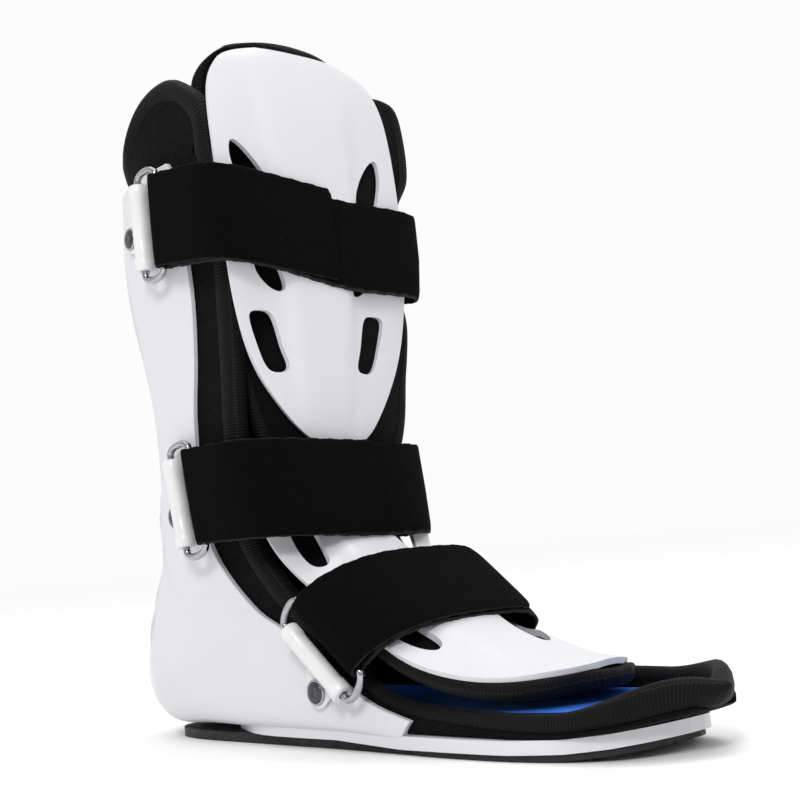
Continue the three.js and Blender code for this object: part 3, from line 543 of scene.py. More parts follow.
def station_row(stations, i, inset, floor_inset, extra=0.0, steps=(), far_share=1.0):
    station = stations[i]
    base = middle_of(station)
    rim = Vector((0, reach_of(station.front), height_of(station.high)))
    run = middle_of(stations[min(i + 2, len(stations) - 1)]) - middle_of(stations[max(i - 2, 0)])
    normal = Vector((0, run.z, -run.y)).normalized()
    way = (rim - base).normalized()
    inwards = floor_inset / max(way.dot(normal), 0.25)
    depth = (rim - base).length * station.curve - inwards
    half = station.calf * CALF_HALF + station.sole * SOLE_HALF - inset
    rim_half = (half + inset) * station.lip - inset
    return u_row(base + way * inwards, rim, half, depth, station.square, rim_half, extra, steps,
                 far_share)


def normals_of(grid):
    """Normals of a grid of points, by its neighbours."""
    result = []
    for i, row in enumerate(grid):
        up = grid[max(i - 1, 0)]
        down = grid[min(i + 1, len(grid) - 1)]
        line = []
        for j in range(len(row)):
            side = row[min(j + 1, len(row) - 1)] - row[max(j - 1, 0)]
            line.append((down[j] - up[j]).cross(side).normalized())
        result.append(line)
    return result


def offset_grid(grid, distance):
    """A grid moved along its own normals, by a number or a function of row and column."""
    amount = distance if callable(distance) else lambda i, j: distance
    return [[p + n * amount(i, j) for j, (p, n) in enumerate(zip(row, line))]
            for i, (row, line) in enumerate(zip(grid, normals_of(grid)))]


# Moulded relief of the rear shell: upright flutes beside the spine, and a curved rib that runs
# down each side of the heel.
FLUTES = table("across width height", [(13, 5, 1.6), (27, 6, -1.4), (40, 5, 1.4)])
HEEL_RIB = smooth(table("y z", [(44, 116), (52, 92), (57, 68), (60, 46), (58, 28)]), 5)
HEEL_SWEEP = smooth(table("y z", [(36, 112), (35, 92), (27, 74), (14, 62)]), 5)


def shell_relief(point):
    upright = ease(95, 125, point.z) * (1 - ease(225, 262, point.z)) * ease(2, 14, point.y)
    lift = sum(f.height * bell(abs(point.x) - f.across, f.width) for f in FLUTES) * upright
    side = ease(48, 54, abs(point.x)) * ease(110, 135, point.z) * (1 - ease(200, 262, point.z))
    crease = point.y - lerp(26, 44, clamp((point.z - 120) / 120))
    lift += side * 2.2 * (ease(-3, 3, crease) - ease(6, 13, crease))
    rib = min(hypot(point.y - r.y, point.z - r.z) for r in HEEL_RIB)
    sweep = min(hypot(point.y - r.y, point.z - r.z) for r in HEEL_SWEEP)
    return lift + (2.4 * bell(rib, 3.5) + 2.0 * bell(sweep, 3.5)) * ease(14, 24, abs(point.x))


def rear_shell():
    stations = smooth(TROUGH, ROW_STEPS)
    count = len(stations)
    outer = [station_row(stations, i, 0, 0) for i in range(count)]
    inner = [station_row(stations, i, SHELL_WALL, SHELL_WALL) for i in range(count)]
    away = -1 if normals_of(outer)[count // 3][len(outer[0]) // 2].y < 0 else 1
    outer = offset_grid(outer, lambda i, j: away * shell_relief(outer[i][j]))
    cup = wall("rear_shell_cup", outer, inner, SHELL, sharp=50)
    bevel(cup, 1.0, 3, 50)
    stands_for(cup, "rear_shell")
    rows = []
    for row in smooth(PLATE, ROW_STEPS):
        y = -row.at * PLATE_REACH
        low = under_plate(y)
        rows.append((y, row.half * SOLE_HALF, 1, low, low + row.thick * PLATE_THICK))
    plate = slab("rear_shell_footplate", rows, SHELL)
    bevel(plate, 1.2, 3)
    stands_for(plate, "rear_shell")


SLAB_ACROSS = 12


def slab(name, rows, look, tilt=lambda y: 0):
    """A flat body along the foot. Each row is y, half width, share of it below, low and high."""
    top = []
    bottom = []
    for y, half, taper, low, high in rows:
        spread = [-cos(j / SLAB_ACROSS * pi) for j in range(SLAB_ACROSS + 1)]
        top.append([Vector((u * half, y, high + tilt(y) * (1 + u) / 2)) for u in spread])
        bottom.append([Vector((u * half * taper, y, low)) for u in spread])
    return wall(name, top, bottom, look, sharp=40)


SOLE = table("at half", [
    (-0.28, 0.3), (-0.265, 0.52), (-0.22, 0.7), (-0.12, 0.8), (0.05, 0.82), (0.33, 0.85),
    (0.5, 0.9), (0.6, 0.95), (0.75, 0.93), (0.85, 0.82), (0.92, 0.65), (0.955, 0.45),
    (0.97, 0.26),
])
FOOTBED = table("at half", [
    (-0.2, 0.42), (-0.14, 0.6), (-0.02, 0.68), (0.16, 0.7), (0.317, 0.71), (0.48, 0.72),
    (0.65, 0.745), (0.78, 0.725), (0.85, 0.6), (0.89, 0.43), (0.915, 0.29), (0.928, 0.15),
])
INSOLE_LIFT = 0.9
INSOLE_TAPER = 0.72


def outsole():
    rows = []
    for row in smooth(SOLE, ROW_STEPS):
        y = -row.at * PLATE_REACH
        rise = column_at(PLATE, "at", "rise", row.at) * TOE_SPRING if row.at > 0.5 else 0
        rows.append((y, row.half * SOLE_HALF, 1, rise, under_plate(y) - GAP))
    piece = slab("outsole_rubber", rows, RUBBER)
    bevel(piece, 0.6)
    stands_for(piece, "outsole")


def insole():
    rows = []
    for row in smooth(FOOTBED, ROW_STEPS):
        y = -row.at * LINER_REACH
        low = floor_of_liner(y) + PAD_FLOOR + INSOLE_LIFT
        full = 0.9 * ease(-90, -140, y)
        rows.append((y, row.half * SOLE_HALF, INSOLE_TAPER, low, low + INSOLE_THICK + full))
    piece = slab("insole_foam", rows, INSOLE, lambda y: 1.2 * ease(-90, -140, y))
    bevel(piece, 1.4, 3)
    stands_for(piece, "insole")


# The padded liner and its edge roll
LOBE_WIDTH = 0.31
LOBE_BACK = 0.01
LOBE_BLUNT = 3
RIM_MARGIN = 5
LOBE_RISE = LINER_HEIGHT - WING_HEIGHT - BINDING_WIDE - RIM_MARGIN
TOP_REACH = 0.084
FAR_WING = 0.6
# The far rim rises beside the toes.
RIM_COLUMNS = 8
FAR_RIM = table("fore rise", [
    (85, 0), (110, 4), (140, 8), (170, 9), (195, 9), (215, 7), (240, 3),
])
FOOT_BINDING = 0.55
# An edge roll is drawn at even steps, rounded off in passes, and starts inside the edge.
ROLL_STEP = 2.5
LINER_PASSES = 14
LINER_TUCK = 2.5


def binding_at(z):
    low = clamp((0.2 * LINER_HEIGHT - z) / (0.1 * LINER_HEIGHT))
    return BINDING_WIDE * lerp(1, FOOT_BINDING, low)


def lobe(share):
    return exp(-(abs(share - LOBE_BACK) / LOBE_WIDTH) ** LOBE_BLUNT)


def liner_rows(skin):
    inset = SHELL_WALL + GAP + skin * PAD_THICK
    steps = (0.25, 0.5, 0.75, 1)
    stations = smooth(TROUGH, ROW_STEPS)
    rows = []
    for share in (1, 0.8, 0.6, 0.4, 0.2):
        row = station_row(stations, 0, inset, inset, TOP_REACH * PLATE_REACH, steps, FAR_WING)
        for p in row:
            p.z += (LOBE_RISE * lobe(p.y / HEEL_REACH) + RIM_MARGIN) * share
        rows.append(row)
    for i, st in enumerate(stations):
        pad = lerp(PAD_FLOOR, PAD_THICK, clamp((st.pad - 0.4) / 0.6))
        past = st.reach * PLATE_REACH - binding_at(height_of(st.high))
        floor = SHELL_WALL + GAP + skin * pad
        share = lerp(1, FAR_WING, ease(0.26, 0.4, st.high))
        rows.append(station_row(stations, i, inset, floor, max(past, 1), steps, share))
    for st in smooth(TOE, ROW_STEPS):
        y = -st.at * LINER_REACH
        high = st.high * PAD_THICK
        back = y + skin * PAD_THICK * st.low
        low = st.low * high + skin * PAD_FLOOR * (1 - st.low)
        base = Vector((0, back, floor_of_liner(y) + low))
        rim = Vector((0, back, floor_of_liner(y) + max(high, low + 0.6)))
        half = st.sole * SOLE_HALF - skin * PAD_THICK
        depth = (rim - base).length * 0.7
        rows.append(u_row(base, rim, half, depth, st.square, half, 0.5, steps))
    for row in rows:
        for k, p in enumerate(reversed(row[-RIM_COLUMNS:])):
            share = clamp((RIM_COLUMNS - k) / 5) * ease(0.1, 0.7, p.x / SOLE_HALF)
            rise = column_at(FAR_RIM, "fore", "rise", -p.y) * share
            p.z += rise
            p.x += rise * 0.25
    return rows


def tape_section(middle, out, side, wide, thick, sides, box=0.75):
    """Section of an edge roll: from `middle` outwards by wide, thick across it."""
    points = []
    for k in range(sides):
        turn = k / sides * tau
        reach = (copysign(abs(cos(turn)) ** box, cos(turn)) + 1) * 0.5
        points.append(middle + out * (GAP + reach * wide) + side * sin(turn) * thick * 0.5)
    return points


def rim_stops(outer, inner):
    """Stops round a grid's rim: the wall's middle, the way outwards and the way across it."""
    rows = len(outer)
    columns = len(outer[0])
    path = [(i, 0) for i in range(rows)] + [(rows - 1, j) for j in range(1, columns - 1)]
    path += [(i, columns - 1) for i in range(rows - 1, -1, -1)]
    path += [(0, j) for j in range(columns - 2, 0, -1)]
    stops = []
    for i, j in path:
        ahead = Vector()
        if j in (0, columns - 1):
            ahead += (outer[i][j] - outer[i][j + 1 if j == 0 else j - 1]).normalized()
        if i in (0, rows - 1):
            ahead += (outer[i][j] - outer[i + 1 if i == 0 else i - 1][j]).normalized()
        side = (outer[i][j] - inner[i][j]).normalized()
        out = ahead - side * ahead.dot(side)
        stops.append(((outer[i][j] + inner[i][j]) / 2, out, side))
    return stops


def liner():
    outer = liner_rows(0)
    inner = liner_rows(1)
    piece = wall("boot_liner_foam", outer, inner, FOAM, sharp=60)
    stands_for(piece, "boot_liner")
    rings = []
    for middle, out, side in even_stops(rim_stops(outer, inner), ROLL_STEP, LINER_PASSES):
        wide = binding_at(middle.z)
        thick = BINDING_THICK * lerp(1, wide / BINDING_WIDE, 0.6)
        wide += 5.5 * ease(-195, -235, middle.y) + LINER_TUCK
        thick += 3.0 * ease(-210, -240, middle.y)
        out.normalize()
        side.normalize()
        rings.append(tape_section(middle - out * LINER_TUCK, out, side, wide, thick, 16))
    roll = loft("liner_edge_roll", rings, BINDING, closed=True)
    stands_for(roll, "liner_binding")


def even_stops(stops, step, passes):
    """Stops at even steps round the loop, with its corners rounded off."""
    lengths = run_lengths([stop[0] for stop in stops], True)
    count = int(lengths[-1] / step)
    result = []
    i = 0
    for k in range(count):
        goal = lengths[-1] * k / count
        while lengths[i + 1] < goal:
            i += 1
        t = (goal - lengths[i]) / max(lengths[i + 1] - lengths[i], 1e-6)
        after = stops[(i + 1) % len(stops)]
        result.append([a.lerp(b, t) for a, b in zip(stops[i], after)])
    for _ in range(passes):
        result = [[(a + b * 2 + c) / 4 for a, b, c in
                   zip(result[k - 1], result[k], result[(k + 1) % count])] for k in range(count)]
    return result


# Centre line that the tongue and both front shells follow.
BEND_HIGH = 0.409
FRONT_LINE = table("fore high leg", [
    (0.15, BEND_HIGH, 1),
    (0.188, BEND_HIGH, 0.918),
    (0.21, BEND_HIGH, 0.798),
    (0.223, BEND_HIGH, 0.647),
    (0.225, BEND_HIGH, 0.431),
    (0.219, BEND_HIGH, 0.216),
    (0.2165, BEND_HIGH, 0.086),
    (0.221, BEND_HIGH, 0),
    (0.242, 0.3495, 0),
    (0.298, 0.3038, 0),
    (0.376, 0.2655, 0),
    (0.455, 0.2247, 0),
    (0.537, 0.1852, 0),
    (0.631, 0.1544, 0),
    (0.738, 0.1321, 0),
    (0.884, 0.1161, 0),
])
BEND_AT = 0.555


class Line:
    """The front line by its own length, with the ankle's bend at BEND_AT."""

    def __init__(self):
        self.points = []
        for row in smooth(FRONT_LINE, 30):
            z = row.high * WING_HEIGHT + row.leg * (TONGUE_HEIGHT - BEND_HIGH * WING_HEIGHT)
            self.points.append(Vector((0, -row.fore * PLATE_REACH, z)))
        self.lengths = run_lengths(self.points, False)
        below = next(i for i, p in enumerate(self.points) if p.z <= BEND_HIGH * WING_HEIGHT)
        self.bend = self.lengths[below] / self.lengths[-1]

    def frame(self, at):
        at -= 0.02 * clamp((at - 0.8) / 0.2) ** 2
        if at < BEND_AT:
            share = at / BEND_AT * self.bend
        else:
            share = lerp(self.bend, 1, (at - BEND_AT) / (1 - BEND_AT))
        goal = clamp(share) * self.lengths[-1]
        i = next((k for k, d in enumerate(self.lengths) if d >= goal), len(self.points) - 1)
        i = max(i, 1)
        a, b = self.points[i - 1], self.points[i]
        t = (goal - self.lengths[i - 1]) / max(self.lengths[i] - self.lengths[i - 1], 1e-6)
        low, high = self.points[max(i - 6, 0)], self.points[min(i + 5, len(self.points) - 1)]
        tangent = (high - low).normalized()
        return a.lerp(b, t), Vector((0, tangent.z, -tangent.y))


LINE = Line()
SHEET = "at half fall late"
TONGUE = table(SHEET, [
    (0.011, 0.76, 0.16, 3), (0.021, 0.95, 0.28, 3), (0.036, 1.05, 0.42, 3.2),
    (0.07, 1.08, 0.54, 3.6), (0.15, 1.05, 0.54, 4), (0.26, 1, 0.52, 4.2),
    (0.37, 0.96, 0.48, 4.2), (0.45, 0.88, 0.38, 4), (0.5, 0.8, 0.28, 3.4),
    (0.53, 0.77, 0.24, 3), (0.555, 0.76, 0.22, 2.9), (0.58, 0.76, 0.22, 2.7),
    (0.612, 0.77, 0.23, 2.5), (0.655, 0.79, 0.24, 2.3), (0.705, 0.82, 0.25, 2.2),
    (0.76, 0.88, 0.25, 2.2), (0.82, 0.91, 0.22, 2.2), (0.88, 0.86, 0.18, 2.2),
    (0.93, 0.75, 0.13, 2.2), (0.965, 0.58, 0.08, 2.2), (0.988, 0.38, 0.04, 2.2),
    (0.998, 0.18, 0.01, 2.2),
])
SHIELD = table(SHEET, [
    (0.029, 0.44, 0.02, 2.6), (0.037, 0.67, 0.05, 2.6), (0.05, 0.83, 0.07, 2.8),
    (0.075, 0.94, 0.09, 3), (0.11, 0.99, 0.1, 3.2), (0.17, 1, 0.1, 3.4),
    (0.24, 0.99, 0.09, 3.5), (0.31, 0.96, 0.085, 3.5), (0.37, 0.88, 0.08, 3.4),
    (0.415, 0.76, 0.07, 3.2), (0.455, 0.58, 0.05, 3), (0.485, 0.39, 0.03, 2.8),
    (0.502, 0.2, 0.01, 2.6),
])
LIP = table(SHEET, [
    (0.512, 0.86, 0.12, 3), (0.53, 0.96, 0.15, 3), (0.555, 1, 0.17, 2.9),
    (0.58, 0.98, 0.2, 2.7), (0.612, 0.92, 0.22, 2.5), (0.655, 0.87, 0.24, 2.3),
    (0.705, 0.85, 0.24, 2.2), (0.76, 0.87, 0.24, 2.2), (0.82, 0.9, 0.21, 2.2),
    (0.875, 0.85, 0.17, 2.2), (0.92, 0.74, 0.12, 2.2), (0.955, 0.58, 0.07, 2.2),
    (0.98, 0.38, 0.04, 2.2), (0.995, 0.17, 0.01, 2.2),
])
VENTS = [table("at out", rows) for rows in (
    [(0.155, 0.765), (0.162, 0.66), (0.187, 0.52), (0.213, 0.44), (0.227, 0.48), (0.228, 0.64),
     (0.205, 0.73), (0.175, 0.79)],
    [(0.28, 0.61), (0.284, 0.47), (0.302, 0.39), (0.322, 0.355), (0.328, 0.4), (0.322, 0.5),
     (0.304, 0.61)],
    [(0.356, 0.69), (0.35, 0.58), (0.356, 0.475), (0.39, 0.405), (0.412, 0.355), (0.419, 0.42),
     (0.415, 0.54), (0.388, 0.63)],
)]
NEAR_SLOTS = [table("at out", rows) for rows in (
    [(0.565, 0.76), (0.575, 0.58), (0.602, 0.52), (0.635, 0.57), (0.642, 0.66), (0.632, 0.75),
     (0.6, 0.77)],
    [(0.7, 0.68), (0.72, 0.58), (0.78, 0.54), (0.815, 0.56), (0.825, 0.68), (0.8, 0.76),
     (0.74, 0.76)],
)]
FAR_SLOTS = [table("at out", rows) for rows in (
    [(0.565, 0.4), (0.57, 0.66), (0.595, 0.72), (0.628, 0.62), (0.648, 0.44), (0.632, 0.34),
     (0.595, 0.33)],
    [(0.721, 0.62), (0.741, 0.48), (0.791, 0.3), (0.846, 0.15), (0.879, 0.16), (0.874, 0.3),
     (0.826, 0.52), (0.766, 0.7)],
)]
SLIDE_TOP = 0.085
SLIDE_FOOT = 0.125
ACROSS = 24
CUT_OUT = 12
CUT_IN = 22


FLAP = table("at spread", [
    (0.022, 0), (0.055, 0.42), (0.13, 0.45), (0.175, 0.42), (0.205, 0.17), (0.31, 0.15),
    (0.345, 0.3), (0.4, 0.28), (0.47, 0.28), (0.5, 0.22), (0.54, 0.05), (0.56, 0),
    (0.62, 0), (0.72, -0.12), (0.9, -0.12), (0.98, 0),
])
FLAP_FALL = 7.2
SHIELD_EDGE = 57.0


def far_flap(at, u):
    """How far the tongue's far side is spread out, what is left of its fall, and its own fall."""
    start = ease(0.1, 0.6, u)
    flat = 0.9 * start * ease(0.022, 0.052, at) * (1 - ease(0.5, 0.56, at))
    return column_at(FLAP, "at", "spread", at) * start, 1 - flat, FLAP_FALL * flat


def far_tuck(at, u):
    """The far side of the shells is drawn in a little, but not at the ankle."""
    side = ease(0.3, 1.0, u)
    ankle = bell(at - 0.585, 0.05)
    spread = 0.1 * ankle - 0.05 - 0.06 * ease(0.65, 0.75, at) * (1 - ease(0.9, 1.0, at))
    return spread * side, 1 + (0.08 - 0.7 * ankle) * side, 0


def sheet_grid(rows, half, flap, relief=None):
    grid = []
    for row in rows:
        centre, normal = LINE.frame(row.at)
        line = []
        for j in range(-ACROSS, ACROSS + 1):
            u = sin(j / ACROSS * pi / 2)
            spread, keeps, own = flap(row.at, u)
            x = u * row.half * half * (1 + spread)
            back = row.fall * half * abs(u) ** row.late * keeps
            back += own * clamp(x / SHIELD_EDGE) ** 3
            lift = relief(row.at, x) if relief else 0
            line.append(centre + normal * (lift - back) + Vector((x, 0, 0)))
        grid.append(line)
    return grid


def facing(grid):
    """1 where a grid's normals point forwards, else -1."""
    middle = normals_of(grid)[len(grid) // 2][len(grid[0]) // 2]
    return 1 if middle.y < 0 else -1


def vent_slide(at):
    """The shield sits askew: its vents and its band lie towards the near side, more so below."""
    return lerp(SLIDE_TOP, SLIDE_FOOT, ease(0.2, 0.3, at))


def cut_holes(piece, near, far, half, slide):
    """Cuts rounded outlines through a shell, on both sides."""
    for side, outlines in ((-1, near), (1, far)):
        for number, outline in enumerate(outlines):
            ring = smooth(outline[-1:] + outline + outline[:2], 5)[5:-5]
            points = []
            for stop in ring[:-1]:
                centre, normal = LINE.frame(stop.at)
                x = (side * stop.out - slide(stop.at)) * half
                points.append((centre + Vector((x, 0, 0)), normal))
            tool = prism(f"cutter_{number}", [p + n * CUT_OUT for p, n in points],
                         [p - n * CUT_IN for p, n in points], SHELL)
            cut = piece.modifiers.new("hole", "BOOLEAN")
            cut.operation = "DIFFERENCE"
            cut.solver = "EXACT"
            cut.object = tool
            apply_modifiers(piece)
            bpy.data.objects.remove(tool)


def apply_modifiers(piece):
    shown = bpy.context.evaluated_depsgraph_get()
    shown.update()
    mesh = bpy.data.meshes.new_from_object(piece.evaluated_get(shown))
    piece.modifiers.clear()
    piece.data = mesh


def shield_relief(at, x):
    """A raised band down the middle of the shield, and hollows round its vents."""
    x = x + vent_slide(at) * SHIELD_HALF
    band = lerp(30, 15, clamp((at - 0.08) / 0.4))
    fades = ease(0.04, 0.14, at) * (1 - ease(0.43, 0.5, at))
    rise = 2.4 * (1 - ease(band - 4, band + 4, abs(x))) * fades
    for top, foot, out in ((0.14, 0.235, 0.6), (0.285, 0.345, 0.52), (0.34, 0.43, 0.53)):
        middle = (top + foot) / 2
        reach = (foot - top) * 0.75
        rise -= 1.6 * bell(at - middle, reach) * bell(abs(x) - out * SHIELD_HALF, 13)
    return rise


def lip_relief(at, x):
    """A raised tongue of plastic between the slots, and a turned-up front edge."""
    band = lerp(19, 26, clamp((at - 0.56) / 0.3))
    rise = 2.0 * (1 - ease(band - 4, band + 4, abs(x))) * ease(0.55, 0.6, at)
    return rise * (1 - ease(0.84, 0.93, at)) + 1.2 * ease(0.93, 1.0, at)


def front_shell(name, node, rows, half, relief, near, far, slide):
    grid = sheet_grid(smooth(rows, 6), half, far_tuck, relief)
    back = offset_grid(grid, -FRONT_WALL * facing(grid))
    piece = wall(name, grid, back, SHELL, sharp=50)
    cut_holes(piece, near, far, half, slide)
    piece.data.shade_smooth()
    piece.data.set_sharp_from_angle(angle=radians(40))
    bevel(piece, 0.55, 2, 45)
    stands_for(piece, node)


TONGUE_UNDER = FRONT_WALL + GAP + 0.35
TONGUE_ROLL_WIDE = 7.5
TONGUE_ROLL_THICK = 8
TONGUE_TUCK = 4.5
TONGUE_PASSES = 8


def tongue():
    rows = smooth(TONGUE, 5)
    line = sheet_grid(rows, TONGUE_HALF, far_flap)
    face = facing(line)
    size = len(line[0])

    def edge(i, j):
        nearest = min(i / len(line), 1 - i / len(line), 0.2) / 0.2
        across = 1 - abs(2 * j / (size - 1) - 1)
        return 1 - 0.45 * bell(across, 0.1) - 0.25 * (1 - nearest) ** 2

    outer = offset_grid(line, lambda i, j: -face * (TONGUE_UNDER + 0.4 * (1 - edge(i, j))))
    inner = offset_grid(line, lambda i, j: -face * (TONGUE_UNDER + TONGUE_THICK * edge(i, j)))
    pad = wall("tongue_pad", outer, inner, TONGUE_FOAM, sharp=60)
    stands_for(pad, "tongue")
    rings = []
    for middle, out, side in even_stops(rim_stops(outer, inner), ROLL_STEP, TONGUE_PASSES):
        out.normalize()
        side.normalize()
        rings.append(tape_section(middle - out * TONGUE_TUCK, out, side, TONGUE_ROLL_WIDE,
                                  TONGUE_ROLL_THICK, 14))
    roll = loft("tongue_edge_roll", rings, TONGUE_TAPE, closed=True)
    stands_for(roll, "tongue")


# Straps, each in its own frame, with its rings, keepers and rivets
STRAPS = table("name fore high lean bars archFore archUp square farSquare slant", [
    ("calf", 0.03, 0.872, 0.03, 1.09, 0.2038, -0.0186, 8, 8, 0.095),
    ("ankle", 0.042, 0.413, 0.17, 0.955, 0.2142, 0, 5.6, 4.3, 0.035),
    ("instep", 0.372, 0.1815, 0.868, 0.8435, 0.0934, 0.0626, 2.6, 3.5, 0),
])
for row, more in zip(STRAPS, table("end sag tip rivetUp rivetBack flare tuck", [
        (0, 3.5, 2.5, 0, 0.42, 0.5, 4),
        (0.02, 1.2, 2.5, -0.093, 0.256, 2, 3),
        (0.55, 1.5, 13, -0.116, 0.314, 0, 0)])):
    vars(row).update(vars(more))
LAYER_STEP = STRAP_THICK + GAP
BAR_REACH = WIRE_RADIUS + GAP + STRAP_THICK / 2
BAR_STEPS = 8
ARCH_END = 0.93
STRAP_STEP = 1.6
STRAP_SIDES = 20


class StrapFrame:
    def __init__(self, strap):
        self.high = strap.high * WING_HEIGHT
        self.fore = strap.fore * PLATE_REACH
        self.bars = strap.bars * CALF_HALF
        self.slant = strap.slant
        self.squares = (strap.square, strap.farSquare)
        self.end = strap.end
        climb = Vector((0, -strap.archFore * PLATE_REACH, strap.archUp * WING_HEIGHT))
        self.arch = climb.length
        self.over = climb.normalized()
        lean = strap.lean
        self.along = Vector((0, sin(lean), cos(lean)))
        self.out = Vector((0, -cos(lean), sin(lean)))

    def place(self, x, rise, slip=0.0):
        way = self.over if rise > 0 else self.out
        point = Vector((0, -self.fore, self.high)) + way * rise
        point += self.along * (slip - self.slant * x)
        point.x = x
        return point


def arch_path(frame_, reach, lift, start, end, count):
    points = []
    for i in range(count + 1):
        share = lerp(start, end, i / count)
        turn = abs(share) * pi / 2
        square = frame_.squares[share > 0]
        x = copysign(reach * sin(turn) ** (2 / square), share)
        rise = (frame_.arch + lift) * cos(turn) ** (2 / square)
        points.append((x, rise))
    return points


def round_bar(x, way):
    """Half a turn of the ribbon round a ring's bar."""
    turns = [i / BAR_STEPS * pi for i in range(1, BAR_STEPS)]
    return [(x - way * BAR_REACH * cos(turn), -BAR_REACH * sin(turn)) for turn in turns]


def strap_path(f):
    """The ribbon's middle: a sewn tab, round the far bar, over the front, round the near bar and
    back over itself."""
    inner = f.bars - BAR_REACH
    outer = f.bars + BAR_REACH
    path = [(inner, 0.3 * f.arch), (inner, 0)] + round_bar(f.bars, 1) + [(outer, 0)]
    for x, rise in arch_path(f, inner, 0, ARCH_END, -ARCH_END, 90):
        flare = clamp(x / inner) ** 8 * 2 * BAR_REACH if x > 0 else 0
        path.append((x + flare, rise))
    path += [(-inner, 0)] + round_bar(-f.bars, -1) + [(-outer, 0)]
    for x, rise in arch_path(f, inner + LAYER_STEP, LAYER_STEP, -ARCH_END, f.end, 60):
        flare = clamp(-x / (inner + LAYER_STEP)) ** 8 * (2 * BAR_REACH - LAYER_STEP) if x < 0 else 0
        path.append((x - flare, rise))
    return path


def resample(path, step):
    points = [Vector((x, r, 0)) for x, r in path]
    lengths = run_lengths(points, False)
    count = int(lengths[-1] / step)
    result = []
    i = 1
    for k in range(count + 1):
        goal = lengths[-1] * k / count
        while i < len(points) - 1 and lengths[i] < goal:
            i += 1
        t = (goal - lengths[i - 1]) / max(lengths[i] - lengths[i - 1], 1e-6)
        result.append(points[i - 1].lerp(points[i], t))
    return result, lengths[-1] / count


def strap(row):
    f = StrapFrame(row)
    path, step = resample(strap_path(f), STRAP_STEP)
    turn_at = max(range(len(path)), key=lambda k: -path[k].x)
    rings = []
    for i, p in enumerate(path):
        before = path[max(i - 1, 0)]
        after = path[min(i + 1, len(path) - 1)]
        run = (after - before).normalized()
        nx, nr = -run.y, run.x
        left = min((len(path) - 1 - i) * step, row.tip)
        corner = row.tip - sqrt(max(row.tip ** 2 - (row.tip - left) ** 2, 0))
        half = STRAP_WIDE / 2 - corner + 0.18 * sin(i * 0.9) + 0.12 * sin(i * 2.3)
        sag = row.sag * bell(p.x - 8, 34) if i < turn_at else 0
        far = ease(0.6, 0.95, p.x / f.bars) * ease(6, 30, p.y)
        ring = []
        for k in range(STRAP_SIDES):
            turn = k / STRAP_SIDES * tau
            w = copysign(abs(cos(turn)) ** 0.22, cos(turn)) * max(half, 1)
            t = copysign(abs(sin(turn)) ** 0.5, sin(turn)) * STRAP_THICK / 2
            up = w / (STRAP_WIDE / 2)
            drawn = far * (row.flare * clamp(up) ** 2 - row.tuck * clamp(-up) ** 2)
            ring.append(f.place(p.x + nx * t + drawn, p.y + nr * t, w - sag))
        rings.append(ring)
    piece = loft(f"strap_{row.name}_webbing", rings, STRAP, sharp=70)
    stands_for(piece, f"strap_{row.name}")


END_RISE = 3.6


def ring(row, word, side):
    f = StrapFrame(row)
    centre = f.place(side * f.bars, -RING_SPAN / 2)
    bend = RING_SPAN / 2 - 0.5
    sections = []
    for q in range(4):
        sx = 1 if q in (0, 3) else -1
        sy = 1 if q < 2 else -1
        for k in range(9):
            turn = (q + k / 8) * pi / 2
            a = sx * (RING_SPAN / 2 - bend) + bend * cos(turn)
            b = sy * (RING_LENGTH / 2 - END_RISE) + END_RISE * sin(turn)
            radial = f.out * cos(turn) + f.along * sin(turn)
            middle = centre + f.out * a + f.along * b
            points = []
            for s in range(12):
                angle = (s + 0.5) / 12 * tau
                points.append(middle + radial * WIRE_RADIUS * sin(angle)
                              + Vector((WIRE_RADIUS * cos(angle), 0, 0)))
            sections.append(points)
    piece = loft(f"ring_{row.name}_{word}_wire", sections, CHROME, closed=True)
    stands_for(piece, f"ring_{row.name}_{word}")


COLLAR = 6.0
COLLAR_RISE = 0.45
BORE = WIRE_RADIUS + GAP


def keeper(row, word, side):
    f = StrapFrame(row)
    node = f"keeper_{row.name}_{word}"
    axis = f.place(side * f.bars, -RING_SPAN)
    end = KEEPER_LENGTH / 2
    slim = KEEPER_RADIUS - COLLAR_RISE
    rims = [(BORE, -end), (KEEPER_RADIUS - 0.5, -end), (KEEPER_RADIUS, 0.5 - end),
            (KEEPER_RADIUS, COLLAR - end), (slim, COLLAR + 0.6 - end), (slim, -5)]
    profile = rims + [(r, -h) for r, h in reversed(rims)]
    sections = []
    for k in range(28):
        turn = k / 28 * tau
        way = f.out * cos(turn) + Vector((sin(turn), 0, 0))
        sections.append([axis + way * r + f.along * h for r, h in profile])
    sleeve = loft(f"{node}_sleeve", sections, KEEPER, closed=True, sharp=50)
    stands_for(sleeve, node)
    low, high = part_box(f"rivet_{row.name}_{word}")
    spot = (Vector(low) + Vector(high)) * 500 - Vector((0, CENTRING, 0))
    run = row.rivetBack * KEEPER_LENGTH
    up = row.rivetUp * KEEPER_LENGTH
    seat = f.bars - KEEPER_RADIUS
    slope = 1.0
    for _ in range(4):
        dip = seat - abs(spot.x) + slope * (TAB_THICK + GAP + RIVET_RISE / 2)
        slope = run / hypot(run, dip)
    away = (f.out * -run + Vector((-side * dip, 0, 0))).normalized()
    face = away.cross(f.along)
    if face.x * side < 0:
        face.negate()
    length = hypot(run, dip)
    start = axis.copy()
    start.x = side * seat
    tip = RIVET_RADIUS + 1.6
    outline = [(-1, -KEEPER_LENGTH * 0.33)]
    for k in range(13):
        turn = lerp(-78, 78, k / 12)
        outline.append((length + tip * cos(radians(turn)),
                        up + tip * sin(radians(turn))))
    outline.append((-1, KEEPER_LENGTH * 0.33))
    points = [start + away * s + f.along * w for s, w in outline]
    tab = prism(f"{node}_tab", points, [p + face * TAB_THICK for p in points], KEEPER, 30)
    bevel(tab, 0.5, 2)
    stands_for(tab, node)
    return spot, face


